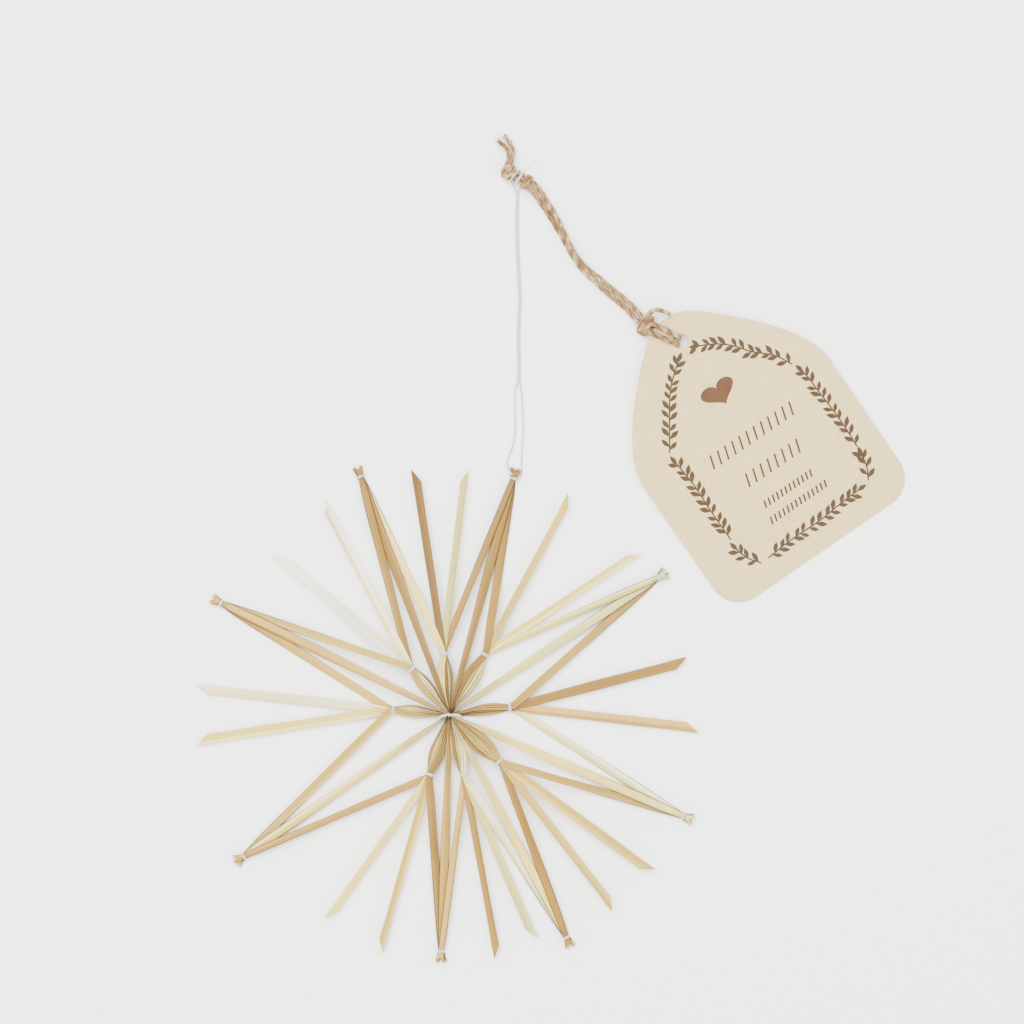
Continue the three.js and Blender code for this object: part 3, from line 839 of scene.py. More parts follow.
def lay_strand(
    shape: bmesh.types.BMesh, points: Sequence[Vector], section: Section, taper: float = 0.0,
) -> None:
    """Adds a closed strand that follows the points, with rounded ends.

    Args:
        shape: the bmesh that the strand is added to.
        points: the middle line.
        section: the cross-section.
        taper: how much thinner the strand's far end is, as a share.
    """
    last = len(points) - 1
    painted_shade = shape.verts.layers.float.get("painted_shade") or shape.verts.layers.float.new("painted_shade")
    frames: list[tuple[Vector, Vector, Vector, float]] = []
    normal = (points[1] - points[0]).orthogonal().normalized()
    along = 0.0
    for i, point in enumerate(points):
        tangent = (points[min(i + 1, last)] - points[max(i - 1, 0)]).normalized()
        normal = (normal - tangent * normal.dot(tangent)).normalized()
        along += (point - points[max(i - 1, 0)]).length
        frames.append((point, normal, tangent.cross(normal), along))
    closing = (0.0, 0.6)
    rows = [(0, share) for share in closing]
    rows += [(i, 1.0) for i in range(last + 1)]
    rows += [(last, share) for share in reversed(closing)]

    def place(vert: bmesh.types.BMVert, column: int, number: int) -> None:
        """Lays one point of the strand's skin."""
        at, share = rows[number]
        point, up, side, distance = frames[at]
        angle = 2 * math.pi * column / section.sides
        reach = section.reach(angle, distance) * share * (1 - taper * at / last)
        out = 0.0
        if share < 1:
            out = section.radius * (0.5 - 0.35 * share) * (1 - taper * at / last)
        # Painted shade in the grooves between the plies.
        vert[painted_shade] = section.groove(angle, distance)
        ahead = up.cross(side) * (out if at else -out)
        vert.co = point + (up * math.cos(angle) + side * math.sin(angle)) * reach + ahead

    size_mm = (2 * math.pi * section.radius / MM, along / MM)
    lay_grid(shape, section.sides, len(rows) - 1, size_mm, place)


def tie_knot(shape: bmesh.types.BMesh, middle: Vector, along: Vector, section: Section) -> None:
    """Adds a small overhand knot.

    Args:
        shape: the bmesh that the knot is added to.
        middle: its middle.
        along: its long direction, level with the table.
        section: the thread's cross-section.
    """
    across = left_of(along)
    size = section.radius * 0.8
    steps = 60
    loop = []
    for i in range(steps - 1):
        t = 2 * math.pi * i / steps
        point = middle + along * (size * 1.1 * (math.sin(t) + 2 * math.sin(2 * t)))
        point += across * (size * (math.cos(t) - 2 * math.cos(2 * t)))
        loop.append(point - UP * (size * math.sin(3 * t)))
    lay_strand(shape, loop, section)


# Thread ties


@dataclass
class Tie:
    """Thread wound tightly round a bundle of straws, with a small knot and cut ends."""

    node: str
    whiskers_mm: tuple[float, ...]
    turns: int = 3
    thread: float = 0.15 * MM
    jitter: float = 0.03 * MM
    roundness: float = 0.5
    whisker: float = 0.1 * MM

    def frame(self) -> tuple[Vector, Vector, Vector, tuple[float, float, float]]:
        """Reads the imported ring's place.

        Returns:
            Its middle, its direction along the straws, its direction across them, and its half sizes
            along, across and up.
        """
        corners = [v.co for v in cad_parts[self.node].data.vertices]
        low = Vector(map(min, *corners))
        high = Vector(map(max, *corners))
        middle = (low + high) / 2
        along = Vector((middle.x, middle.y, 0)).normalized()
        across = left_of(along)
        halves = [max(abs((c - middle).dot(d)) for c in corners) for d in (along, across, UP)]
        return middle, along, across, (halves[0], halves[1], halves[2])

    def build(self, finish: bpy.types.Material) -> bpy.types.Object:
        """Winds the tie and lets it stand for its CAD node.

        Args:
            finish: the thread material.

        Returns:
            The finished piece.
        """
        chance = random.Random(f"{SEED} {self.node}")
        middle, along, across, (half_length, half_width, half_height) = self.frame()
        width = half_width - self.thread
        height = half_height - self.thread
        winding: list[Vector] = []
        steps = 26
        for i in range(self.turns * steps + 1):
            angle = 2 * math.pi * i / steps
            share = i / (self.turns * steps)
            reach = (2 * share - 1) * (half_length - self.thread)
            c, s = math.cos(angle), math.sin(angle)
            x = math.copysign(abs(c) ** self.roundness, c) * width
            z = math.copysign(abs(s) ** self.roundness, s) * height
            reach += chance.uniform(-self.jitter, self.jitter)
            winding.append(middle + along * reach + across * x + UP * z)
        shape = bmesh.new()
        section = Section(self.thread, sides=8)
        lay_strand(shape, even_points(winding, 0.16 * MM), section)
        knot = middle + UP * (half_height - 0.1 * MM) + across * chance.uniform(-0.4, 0.4) * half_width
        tie_knot(shape, knot, across, section)
        for length in self.whiskers_mm:
            heading = (across * chance.choice((-1, 1)) + along * chance.uniform(-0.8, 0.8)).normalized()
            bend = along * chance.uniform(-0.3, 0.3)
            reach = length * MM
            end = [
                knot + (heading + bend * t) * (reach * t) - UP * (half_height * t * 0.8)
                for t in (0, 0.3, 0.6, 1.0)
            ]
            lay_strand(shape, curve_points(end, 0.25 * MM), Section(self.whisker, sides=6), taper=0.4)
        return stand_for(shape, f"{self.node}_winding", self.node, finish)


# How far the cut ends of the thread stand out from a tie's knot.
USUAL_WHISKERS_MM = (1.4, 0.8)
WHISKERS_MM = {
    "tip_tie_8": (1.9, 1.2), "tip_tie_7": (2.4, 1.6), "tip_tie_4": (1.3,), "tip_tie_2": (1.2,),
    "inner_tie_3": (2.2,), "inner_tie_2": (1.5, 0.9),
}


@dataclass
class MiddleTie:
    """Thread over and under all the straws where they cross, down between the rays on both sides."""

    node: str = "middle_tie"
    # Each leg: the angle of its line and its length in millimetres.
    legs: tuple[tuple[float, float], ...] = ((-9.0, 3.1), (192.0, 3.1))
    corner: float = 0.6 * MM
    flat: float = 1.2 * MM
    turns: int = 3
    spread: float = 0.3 * MM
    thread: float = 0.16 * MM
    jitter: float = 0.03 * MM

    def spot(self, q: float, height: float, side: float) -> Vector:
        """Gives a place on the winding.

        Args:
            q: the distance out along the right leg's line, or along the left leg's if negative.
            height: the height over the table.
            side: how far the turn lies to one side.

        Returns:
            The place in the row frame.
        """
        angle = math.radians(self.legs[0][0] if q > 0 else self.legs[1][0])
        out = Vector((math.cos(angle), math.sin(angle) * smooth(abs(q) / MM - 2), 0.0))
        aside = left_of(out) * (-1 if q > 0 else 1)
        return out * abs(q) + aside * side + UP * height

    def build(self, finish: bpy.types.Material) -> bpy.types.Object:
        """Winds the tie and lets it stand for its CAD node.

        Args:
            finish: the thread material.

        Returns:
            The finished piece.
        """
        chance = random.Random(SEED + 3)
        low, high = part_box(self.node)
        bottom, top = low.z + self.thread, high.z - self.thread
        right, left = self.legs[0][1] * MM, -self.legs[1][1] * MM
        c, flat = self.corner, self.flat
        loop = [
            (flat, top), (right - c, top), (right, top - c), (right, bottom + c), (right - c, bottom),
            (flat, bottom), (-flat, bottom), (left + c, bottom), (left, bottom + c), (left, top - c),
            (left + c, top), (-flat, top),
        ]
        route = []
        for turn in range(self.turns):
            for i, (q, height) in enumerate(loop):
                share = (turn + i / len(loop)) / self.turns
                side = (2 * share - 1) * self.spread + chance.uniform(-self.jitter, self.jitter)
                route.append(self.spot(q, height, side))
        shape = bmesh.new()
        section = Section(self.thread, sides=8)
        lay_strand(shape, curve_points(route, 0.2 * MM), section)
        tie_knot(shape, Vector((-0.2 * MM, 0.05 * MM, high.z - 0.1 * MM)), LEVEL_SIDEWAYS, section)
        return stand_for(shape, f"{self.node}_winding", self.node, finish)


# The cords that hang from the star's top tip. Their points are in millimetres from that tip.


TOP_TIP = Vector((18.9456, 70.7058, 0.0)) * MM


def from_tip(points: Sequence[Sequence[float]]) -> list[Vector]:
    """Turns points in millimetres from the top tip into places in the row frame."""
    return [TOP_TIP + Vector(p) * MM for p in points]


@dataclass
class EndKnot:
    """The overhand knot at the star's end of the twine."""

    at_mm: tuple[float, float, float] = (1.2, 90.3, 2.55)
    angle: float = -30.0
    neck_mm: float = 1.3

    @property
    def middle(self) -> Vector:
        """The middle of the knot in the row frame."""
        return from_tip([self.at_mm])[0]

    @property
    def along(self) -> Vector:
        """The direction of the knot's axis."""
        return level_direction(self.angle)

    @property
    def away(self) -> Vector:
        """The direction across the knot, level with the table."""
        return left_of(self.along)


@dataclass
class HangingThread:
    """The doubled white thread that ties the top tip to the twine."""

    diameter_mm: float = 0.5
    half_gap_mm: float = 0.33
    left_mm: tuple[tuple[float, float, float], ...] = (
        (-0.25, 0.9, 2.5), (-0.7, 1.7, 2.4), (-1.6, 3.2, 1.9), (-1.9, 4.7, 0.8), (-1.3, 6.6, 0.3),
        (-0.5, 8.6, 0.3), (0.2, 11.3, 0.3), (0.6, 14.1, 0.3), (0.5, 21.3, 0.3), (0.7, 26.9, 0.32))
    right_mm: tuple[tuple[float, float, float], ...] = (
        (1.5, -0.3, 1.0), (2.1, 0.5, 0.8), (2.6, 2.2, 0.4), (2.5, 5.1, 0.3), (2.7, 8.8, 0.3),
        (2.9, 12.5, 0.3), (3.0, 16.2, 0.3), (2.5, 25.5, 0.32))
    middle_mm: tuple[tuple[float, float, float], ...] = (
        (1.65, 28.7, 0.64), (1.65, 29.9, 0.7), (1.7, 31.2, 0.64), (1.8, 33.8, 0.32),
        (1.6, 39.9, 0.3), (1.75, 48.0, 0.3), (2.05, 53.4, 0.3), (1.6, 62.4, 0.3),
        (1.25, 71.4, 0.3), (1.2, 79.8, 0.32), (1.3, 85.6, 0.5))
    end_mm: tuple[tuple[float, float, float], ...] = (
        (2.2, 90.6, 4.4), (4.3, 92.9, 4.0), (5.8, 94.8, 3.0), (7.1, 95.9, 2.0))
    end_radius_mm: float = 0.16
    knot_mm: tuple[float, float, float] = (1.65, 29.9, 0.72)
    knot_share: float = 0.84
    # The turns round the end knot: the step along it, and their first, last and step angle.
    wrap_pitch_mm: float = 1.74
    wrap_angles: tuple[int, int, int] = (-20, 640, 44)
    wrap_room_mm: float = 0.5

    def section(self, share: float = 1.0) -> Section:
        """Gives the thread's cross-section, at a share of its full thickness."""
        radius = self.diameter_mm / 2 * MM * share
        return Section(radius, sides=10, plies=2, ply_depth=0.2, turn=1.5 * MM)

    def wraps(self, knot: EndKnot) -> list[Vector]:
        """Winds the thread round the neck of the twine's end knot.

        Args:
            knot: the end knot.

        Returns:
            The points of the turns.
        """
        first, last, step = self.wrap_angles
        radius = (knot.neck_mm + self.diameter_mm / 2 + self.wrap_room_mm) * MM
        points = []
        for turn in range(first, last + 1, step):
            angle = math.radians(turn)
            shift = (turn - (first + last) / 2 + 40) / 360 * self.wrap_pitch_mm * MM
            place = knot.middle + knot.along * shift - knot.away * (math.cos(angle) * radius)
            points.append(place + UP * (math.sin(angle) * radius))
        return points

    def build(self, knot: EndKnot, finish: bpy.types.Material) -> list[bpy.types.Object]:
        """Args:
            knot: the end knot that the thread goes round.
            finish: the thread material.

        Returns:
            The thread, its knot and its loose end.
        """
        gap = Vector((self.half_gap_mm, 0, 0))
        up = [Vector(p) - gap for p in self.middle_mm]
        down = [Vector(p) + gap for p in reversed(self.middle_mm)]
        route = from_tip([*self.left_mm, *up]) + self.wraps(knot)
        route += from_tip([*down, *reversed(self.right_mm)])
        points = curve_points(route, 0.3 * MM)
        shape = bmesh.new()
        lay_strand(shape, points, self.section())
        thread = stand_for(shape, "hanging_thread_strand", "hanging_thread", finish)
        ring = self.knot(finish)
        end = self.loose_end(finish)
        return [thread, ring, end]

    def loose_end(self, finish: bpy.types.Material) -> bpy.types.Object:
        """Makes the thread's cut end, which stands out from the twine's end knot.

        Args:
            finish: the thread material.

        Returns:
            The loose end.
        """
        shape = bmesh.new()
        points = curve_points(from_tip(self.end_mm), 0.3 * MM)
        lay_strand(shape, points, Section(self.end_radius_mm * MM, sides=8), taper=0.4)
        finish_shape(shape)
        piece = to_object(shape, "thread_loose_end", finish)
        return piece

    def knot(self, finish: bpy.types.Material) -> bpy.types.Object:
        """Makes the small overhand knot where the thread's two strands meet.

        Args:
            finish: the thread material.

        Returns:
            The knot.
        """
        shape = bmesh.new()
        tie_knot(shape, from_tip([self.knot_mm])[0], LEVEL_AHEAD, self.section(self.knot_share))
        return stand_for(shape, "thread_knot_turns", "thread_knot", finish)


@dataclass
class JuteTwine:
    """The doubled jute twine between the hanging thread and the card, with its knots and loops."""

    diameter_mm: float = 1.7
    half_gap_mm: float = 0.95
    table_gap_mm: float = 0.05
    # Each point of the pair's middle line: its place, how far the pair has rolled over, and its lift.
    middle_line_mm: tuple[tuple[float, float, float, float], ...] = (
        (5.7, 87.5, 10, 1.1), (7.5, 85.4, 12, 0.6), (9.8, 81.9, 20, 0.1), (12.0, 78.4, 35, 0),
        (14.0, 74.7, 52, 0), (16.2, 70.5, 62, 0), (18.7, 66.1, 66, 0), (21.6, 62.5, 52, 0),
        (25.1, 59.5, 32, 0), (28.6, 56.4, 18, 0), (32.2, 53.5, 12, 0.1), (35.6, 50.5, 10, 0.5),
        (37.6, 48.0, 10, 1.1))
    end_tail_mm: tuple[tuple[float, float, float], ...] = (
        (-1.6, 92.6, 2.7), (-1.1, 94.9, 2.7), (-0.7, 97.3, 2.2), (-1.6, 99.6, 1.9), (-3.2, 101.6, 1.7))
    tag_tail_mm: tuple[tuple[float, float, float], ...] = (
        (40.4, 48.0, 2.7), (41.0, 49.6, 3.0), (42.4, 50.3, 3.1), (43.8, 50.3, 3.4), (45.3, 49.9, 3.6),
        (46.6, 49.2, 3.6))
    loops_mm: tuple[tuple[tuple[float, float, float], ...], ...] = (
        ((40.4, 46.5, 3.0), (42.5, 45.9, 3.6), (43.8, 45.3, 3.85), (45.4, 44.6, 3.9), (47.1, 43.6, 3.85),
         (48.5, 42.7, 3.65), (49.75, 42.05, 2.3), (48.5, 42.7, 0.95), (46.6, 43.6, 0.92),
         (44.4, 44.7, 0.95), (42.6, 45.5, 0.95), (40.6, 46.2, 1.6)),
        ((39.6, 44.7, 3.0), (41.2, 43.6, 3.6), (42.5, 43.0, 3.85), (44.4, 42.2, 3.9), (46.2, 41.4, 3.85),
         (47.8, 40.7, 3.65), (49.25, 40.35, 2.3), (47.8, 40.7, 0.95), (45.8, 41.4, 0.92),
         (43.5, 42.5, 0.95), (41.7, 43.4, 0.95), (39.8, 44.5, 1.6)))
    tag_knot_mm: tuple[float, float, float] = (39.6, 46.0, 2.4)
    tag_knot_angle: float = 60.0
    # A turn of the tag knot: half its length, how far it swings to the sides, and half its height.
    tag_turn_mm: tuple[float, float, float] = (2.7, 0.35, 1.45)
    # For each turn of the tag knot, its shift to one side and its tilt, in millimetres.
    tag_turns: tuple[tuple[float, float], ...] = ((-0.75, 0.3), (0.0, -0.1), (0.75, -0.3))
    # The end knot: the radius of its turns, and where its two core strands pass along its axis.
    end_turn_mm: float = 1.7
    end_core_mm: tuple[float, ...] = (-4.2, -2.0, 0.2, 2.3, 4.2)
    # Each group of turns of the end knot: its start and end in millimetres, its number of turns, the angle
    # at which it starts and its slant.
    end_turns: tuple[tuple[float, float, float, float, float], ...] = (
        (-4.0, -2.2, 2.2, 40, 0.6), (-2.4, -3.4, 1.1, 120, -1.1), (2.7, 3.8, 1.6, 200, 0.25))
    fibre_mm: float = 0.055
    brush_mm: float = 0.09
    fibre_low_mm: float = 0.06
    fibre_high_mm: float = 1.1
    chance: random.Random = field(default_factory=lambda: random.Random(SEED + 5))

    def section(self, share: float = 1.0) -> Section:
        """Gives the twine's two-ply cross-section, at a share of its full thickness."""
        radius = self.diameter_mm / 2 * MM * share
        return Section(radius, sides=18, plies=2, ply_depth=0.3, turn=8.6 * MM)

    def any_vector(self, limit: float) -> Vector:
        """Draws a vector at random, with each of its numbers between minus the limit and the limit."""
        return Vector([self.chance.uniform(-limit, limit) for _ in range(3)])

    def strand_route(self, side: int) -> list[Vector]:
        """Gives the middle line of one of the pair's two strands.

        Args:
            side: 1 or -1.

        Returns:
            The strand's route in the row frame.
        """
        line = self.middle_line_mm
        route = []
        for i, (x, y, roll, lift) in enumerate(line):
            ahead, behind = line[min(i + 1, len(line) - 1)], line[max(i - 1, 0)]
            heading = Vector((ahead[0] - behind[0], ahead[1] - behind[1])).normalized()
            out = side * self.half_gap_mm * math.cos(math.radians(roll))
            climb = self.half_gap_mm * math.sin(math.radians(roll)) * (1 + side)
            foot = self.diameter_mm / 2 + self.table_gap_mm + lift
            route.append((x - heading.y * out, y + heading.x * out, foot + climb))
        start = (3.9 + 0.3 * side, 88.7 + 0.5 * side, 2.3)
        end = (39.0 + 0.5 * side, 46.5 + 0.4 * side, 2.3)
        return from_tip([start, *route, end])

    def piece(
        self, name: str, routes: list[list[Vector]], finish: bpy.types.Material, *,
        share: float = 1.0, taper: float = 0.0, fibres: int = 0, brush: int = 0,
    ) -> bpy.types.Object:
        """Makes a piece of twine that stands for a CAD node of nearly the same name.

        Args:
            name: the CAD node's name.
            routes: the middle line of each strand in the piece.
            finish: the twine material.
            share: the strand's thickness against the whole twine.
            taper: how much thinner the far end is, as a share.
            fibres: number of loose fibres for each strand.
            brush: number of fibres that fray out of each strand's far end.

        Returns:
            The finished piece.
        """
        shape = bmesh.new()
        for route in routes:
            points = curve_points(route, 0.32 * MM)
            section = self.section(share)
            lay_strand(shape, points, section, taper)
            self.add_fibres(shape, points, fibres, section.radius)
            self.add_brush(shape, points, brush, section.radius * (1 - taper))
        return stand_for(shape, f"{name}_jute", name, finish)

    def add_fibres(
        self, shape: bmesh.types.BMesh, points: list[Vector], count: int, radius: float,
    ) -> None:
        """Adds loose fibres that leave the strand at a low angle.

        Args:
            shape: the bmesh that the fibres are added to.
            points: the strand's middle line.
            count: number of fibres.
            radius: the strand's radius.
        """
        for _ in range(count):
            at = self.chance.randrange(1, len(points) - 1)
            tangent = (points[at + 1] - points[at - 1]).normalized() * self.chance.choice((-1, 1))
            out = self.any_vector(1.0)
            out = (out - tangent * out.dot(tangent)).normalized()
            length = self.chance.uniform(0.7, 2.0) * MM
            curl = self.any_vector(0.4)
            line = []
            for t in (0.0, 0.35, 0.7, 1.0):
                point = points[at] + out * (radius * 0.8 + length * 0.32 * t)
                point += (tangent + curl * t) * (length * t)
                point.z = max(point.z, self.fibre_low_mm * MM)
                point.z = min(point.z, points[at].z + self.fibre_high_mm * MM)
                line.append(point)
            section = Section(self.fibre_mm * MM, sides=4)
            lay_strand(shape, curve_points(line, 0.35 * MM), section, taper=0.5)

    def add_brush(
        self, shape: bmesh.types.BMesh, points: list[Vector], count: int, radius: float,
    ) -> None:
        """Frays a strand's far end into fibres that spread as they leave it.

        Args:
            shape: the bmesh that the fibres are added to.
            points: the strand's middle line.
            count: number of fibres.
            radius: the strand's radius at its end.
        """
        heading = (points[-1] - points[-4]).normalized()
        for _ in range(count):
            out = self.any_vector(1.0)
            out = (out - heading * out.dot(heading)) * 0.6
            length = self.chance.uniform(0.6, 1.5) * MM
            line = []
            for t in (0.0, 0.4, 0.75, 1.0):
                point = points[-3] + out * (radius * 1.1 + length * 0.9 * t * t)
                point += heading * (length * (t + 0.2))
                point.z = max(point.z, self.fibre_low_mm * MM)
                line.append(point)
            section = Section(self.brush_mm * MM, sides=5)
            lay_strand(shape, curve_points(line, 0.3 * MM), section, taper=0.5)

    def knot_turns(
        self, knot: EndKnot, start_mm: float, end_mm: float, turns: float, phase: float, slant: float,
    ) -> list[Vector]:
        """Winds a strand round a knot's axis.

        Args:
            knot: the end knot.
            start_mm: where the turns start along the axis.
            end_mm: where they end.
            turns: number of turns.
            phase: the angle at which they start, in degrees.
            slant: how far each turn leans along the axis, in millimetres.

        Returns:
            The points of the turns.
        """
        count = max(8, round(turns * 12))
        radius = self.end_turn_mm * MM
        points = []
        for i in range(count + 1):
            angle = math.radians(phase) + 2 * math.pi * turns * i / count
            reach = (mix(start_mm, end_mm, i / count) + slant * math.sin(angle)) * MM
            place = knot.middle + knot.along * reach + knot.away * (math.cos(angle) * radius)
            points.append(place + UP * (math.sin(angle) * radius))
        return points

    def build_end_knot(self, knot: EndKnot, finish: bpy.types.Material) -> bpy.types.Object:
        """Ties the knot at the star's end: two lumps of turns with both strands running through.

        Args:
            knot: where the knot is.
            finish: the twine material.

        Returns:
            The knot.
        """
        # The knot's axis points from its larger lump to its smaller one, away from the cut ends.
        routes = []
        for side in (-1, 1):
            core = []
            for reach in self.end_core_mm:
                point = knot.middle + knot.along * (reach * MM)
                point += knot.away * (side * 1.05 * MM * math.cos(reach / 2))
                core.append(point + UP * (side * 0.8 * MM * math.sin(reach / 2)))
            routes.append(core)
        routes += [self.knot_turns(knot, *group) for group in self.end_turns]
        return self.piece("twine_end_knot", routes, finish, share=0.92, fibres=20)

    def build_tag_knot(self, finish: bpy.types.Material) -> bpy.types.Object:
        """Ties the knot beside the card.

        Args:
            finish: the twine material.

        Returns:
            The knot.
        """
        middle = from_tip([self.tag_knot_mm])[0]
        along = level_direction(self.tag_knot_angle)
        across = left_of(along)
        length, swing, height = self.tag_turn_mm
        steps = 14
        routes = []
        for shift, tilt in self.tag_turns:
            turn = []
            for i in range(steps + 1):
                t = 2 * math.pi * i / steps * 0.96
                point = middle + along * (length * MM * math.cos(t))
                point += across * ((swing * math.sin(2 * t) + shift) * MM)
                turn.append(point + UP * ((height * math.sin(t) + tilt * math.cos(t)) * MM))
            routes.append(turn)
        return self.piece("twine_tag_knot", routes, finish, share=0.95, fibres=16)

    def build(self, knot: EndKnot, finish: bpy.types.Material) -> list[bpy.types.Object]:
        """Makes the twine.

        Args:
            knot: the end knot.
            finish: the twine material.

        Returns:
            The twine's pieces.
        """
        strands = []
        for number, side in ((1, 1), (2, -1)):
            route = self.strand_route(side)
            strands.append((route, self.piece(f"twine_strand_{number}", [route], finish, fibres=46)))
        ends = [self.build_end_knot(knot, finish), self.build_tag_knot(finish)]
        ends.append(self.piece(
            "twine_end_tail", self.frayed_tail(), finish, share=0.88, taper=0.15, fibres=40, brush=34))
        ends.append(self.piece(
            "twine_tag_tail", [from_tip(self.tag_tail_mm)], finish, share=0.95, taper=0.2, fibres=12,
            brush=12))
        for number, route in enumerate(self.loops_mm, 1):
            ends.append(self.piece(f"tag_loop_{number}", [from_tip(route)], finish, fibres=10))
        return [strand for _, strand in strands] + ends

    def frayed_tail(self) -> list[list[Vector]]:
        """Gives the two cut ends past the end knot, which part from each other."""
        tails = []
        for side in (-1, 1):
            route = [
                Vector(p) + side * Vector((0.5 + 0.03 * i * i, 0.04 * i * i, 0.35 - 0.15 * i))
                for i, p in enumerate(self.end_tail_mm)
            ]
            tails.append(from_tip(route))
        return tails


# The card tag


class Ink(Enum):
    """What a part of the card is printed with. The number is its place in the card's materials."""

    BARE = 0
    OLIVE = 1
    RUST = 2
    HEART = 3


Drawn = tuple[Ink, list[tuple[float, float]]]


@dataclass
class TagPrint:
    """The card's print: sprigs round its edge, a heart, and rows of plain slanting strokes."""

    leaf_mm: tuple[float, float] = (3.6, 1.5)
    leaf_step_mm: float = 2.75
    # The first leaf's distance from the root, the bare stretch under the tip and the tip leaf's foot.
    root_mm: float = 1.2
    tip_mm: float = 2.2
    tip_foot_mm: float = 2.6
    stagger_mm: float = 0.8
    leaf_lean: tuple[float, float] = (32, 46)
    stem_mm: float = 0.5
    # Each stem runs from its root to its tip leaf.
    stems_mm: tuple[tuple[tuple[float, float], ...], ...] = (
        ((-21.6, -25.8), (-16.5, -18.2), (-11.1, -10.8), (-6.8, -6.8), (-2.4, -3.5)),
        ((-21.2, -57.7), (-21.3, -47.6), (-21.1, -37.3), (-21.6, -31.4), (-22.0, -27.6)),
        ((-17.6, -68.6), (-20.4, -64.6), (-21.8, -59.1)),
        ((-15.1, -68.5), (-6.0, -67.9), (4.4, -68.0), (12.5, -67.3), (20.7, -67.0)),
        ((22.8, -66.4), (24.8, -62.6), (25.8, -57.0)),
        ((25.8, -56.0), (26.1, -49.6), (26.0, -42.6), (25.6, -36.0), (25.4, -30.3), (24.6, -26.3)),
        ((23.7, -24.7), (20.9, -19.6), (15.9, -14.8), (12.2, -10.1), (8.2, -6.7), (1.8, -3.4)))
    heart_at_mm: tuple[float, float] = (0.8, -19.1)
    heart_mm: tuple[float, float] = (11.2, 8.2)
    # Each row: its middle, its length, its height and the step from stroke to stroke.
    lines_mm: tuple[tuple[float, float, float, float, float], ...] = (
        (1.2, -35.4, 29.0, 4.2, 2.6), (1.7, -45.8, 18.5, 4.2, 2.6),
        (1.5, -54.7, 17.0, 2.3, 1.5), (1.8, -59.8, 20.0, 2.3, 1.5))
    stroke_mm: float = 0.6
    stroke_slant: float = 0.3

    def leaf(self, foot: Vector, heading: Vector, length: float) -> list[tuple[float, float]]:
        """Draws one pointed leaf.

        Args:
            foot: where it leaves the stem.
            heading: its direction.
            length: its length in millimetres.

        Returns:
            Its outline, anticlockwise.
        """
        side = left_of(heading).xy
        half = self.leaf_mm[1] / 2 * length / self.leaf_mm[0]
        marks = [(0.0, 0.0), (0.22, 0.5), (0.45, 0.97), (0.65, 0.9), (0.85, 0.45), (1.0, 0.0)]
        right = [foot + heading * (length * t) - side * (half * w) for t, w in marks]
        left = [foot + heading * (length * t) + side * (half * w) for t, w in reversed(marks[1:-1])]
        return [(p.x, p.y) for p in right + left]

    def stroke(self, line: Sequence[Vector], width: float) -> list[tuple[float, float]]:
        """Draws a line of some width.

        Args:
            line: its points.
            width: its width.

        Returns:
            Its outline, anticlockwise.
        """
        right, left = [], []
        for i, point in enumerate(line):
            heading = (line[min(i + 1, len(line) - 1)] - line[max(i - 1, 0)]).normalized()
            side = left_of(heading).xy * (width / 2)
            right.append(point - side)
            left.append(point + side)
        return [(p.x, p.y) for p in right + left[::-1]]

    def heart(self) -> list[tuple[float, float]]:
        """Draws the heart, anticlockwise."""
        x0, y0 = self.heart_at_mm
        points = []
        steps = 48
        for i in range(steps):
            t = -2 * math.pi * i / steps
            x = 16 * math.sin(t) ** 3
            y = 13 * math.cos(t) - 5 * math.cos(2 * t) - 2 * math.cos(3 * t) - math.cos(4 * t)
            points.append((x0 + x * self.heart_mm[0] / 32, y0 + y * self.heart_mm[1] / 32))
        return points

    def sprig(self, stem: Sequence[tuple[float, float]], chance: random.Random) -> list[Drawn]:
        """Draws a stem with pairs of leaves.

        Args:
            stem: the stem, from its root to its tip.
            chance: where the leaves' small differences come from.

        Returns:
            The shapes.
        """
        line = [p.xy for p in curve_points([(x, y, 0.0) for x, y in stem], 0.8)]
        length = line_length([p.to_3d() for p in line])
        ink = chance.choice((Ink.OLIVE, Ink.RUST))
        drawn = [(ink, self.stroke(line[:-2], self.stem_mm))]
        reach = self.root_mm
        while reach < length - self.tip_mm:
            at = round(reach / length * (len(line) - 1))
            heading = (line[min(at + 1, len(line) - 1)] - line[max(at - 1, 0)]).normalized()
            for side in (-1, 1):
                outward = heading.copy()
                outward.rotate(Matrix.Rotation(side * math.radians(chance.uniform(*self.leaf_lean)), 2))
                foot = line[at] + heading * (self.stagger_mm if side > 0 else 0.0)
                leaf_ink = ink if chance.random() < 0.6 else chance.choice((Ink.OLIVE, Ink.RUST))
                leaf_length = self.leaf_mm[0] * chance.uniform(0.85, 1.08)
                drawn.append((leaf_ink, self.leaf(foot, outward, leaf_length)))
            reach += self.leaf_step_mm
        tip = (line[-1] - line[-3]).normalized()
        return [*drawn, (ink, self.leaf(line[-1] - tip * self.tip_foot_mm, tip, self.leaf_mm[0]))]

    def shapes(self) -> list[Drawn]:
        """Draws the whole print, in the card's own frame and in millimetres."""
        chance = random.Random(SEED + 9)
        drawn = [shape for stem in self.stems_mm for shape in self.sprig(stem, chance)]
        drawn.append((Ink.HEART, self.heart()))
        for x, y, length, height, step in self.lines_mm:
            for i in range(round(length / step) + 1):
                foot = Vector((x - length / 2 + i * step, y - height / 2))
                line = [foot, foot + Vector((height * self.stroke_slant, height))]
                drawn.append((Ink.RUST, self.stroke(line, self.stroke_mm)))
        return drawn


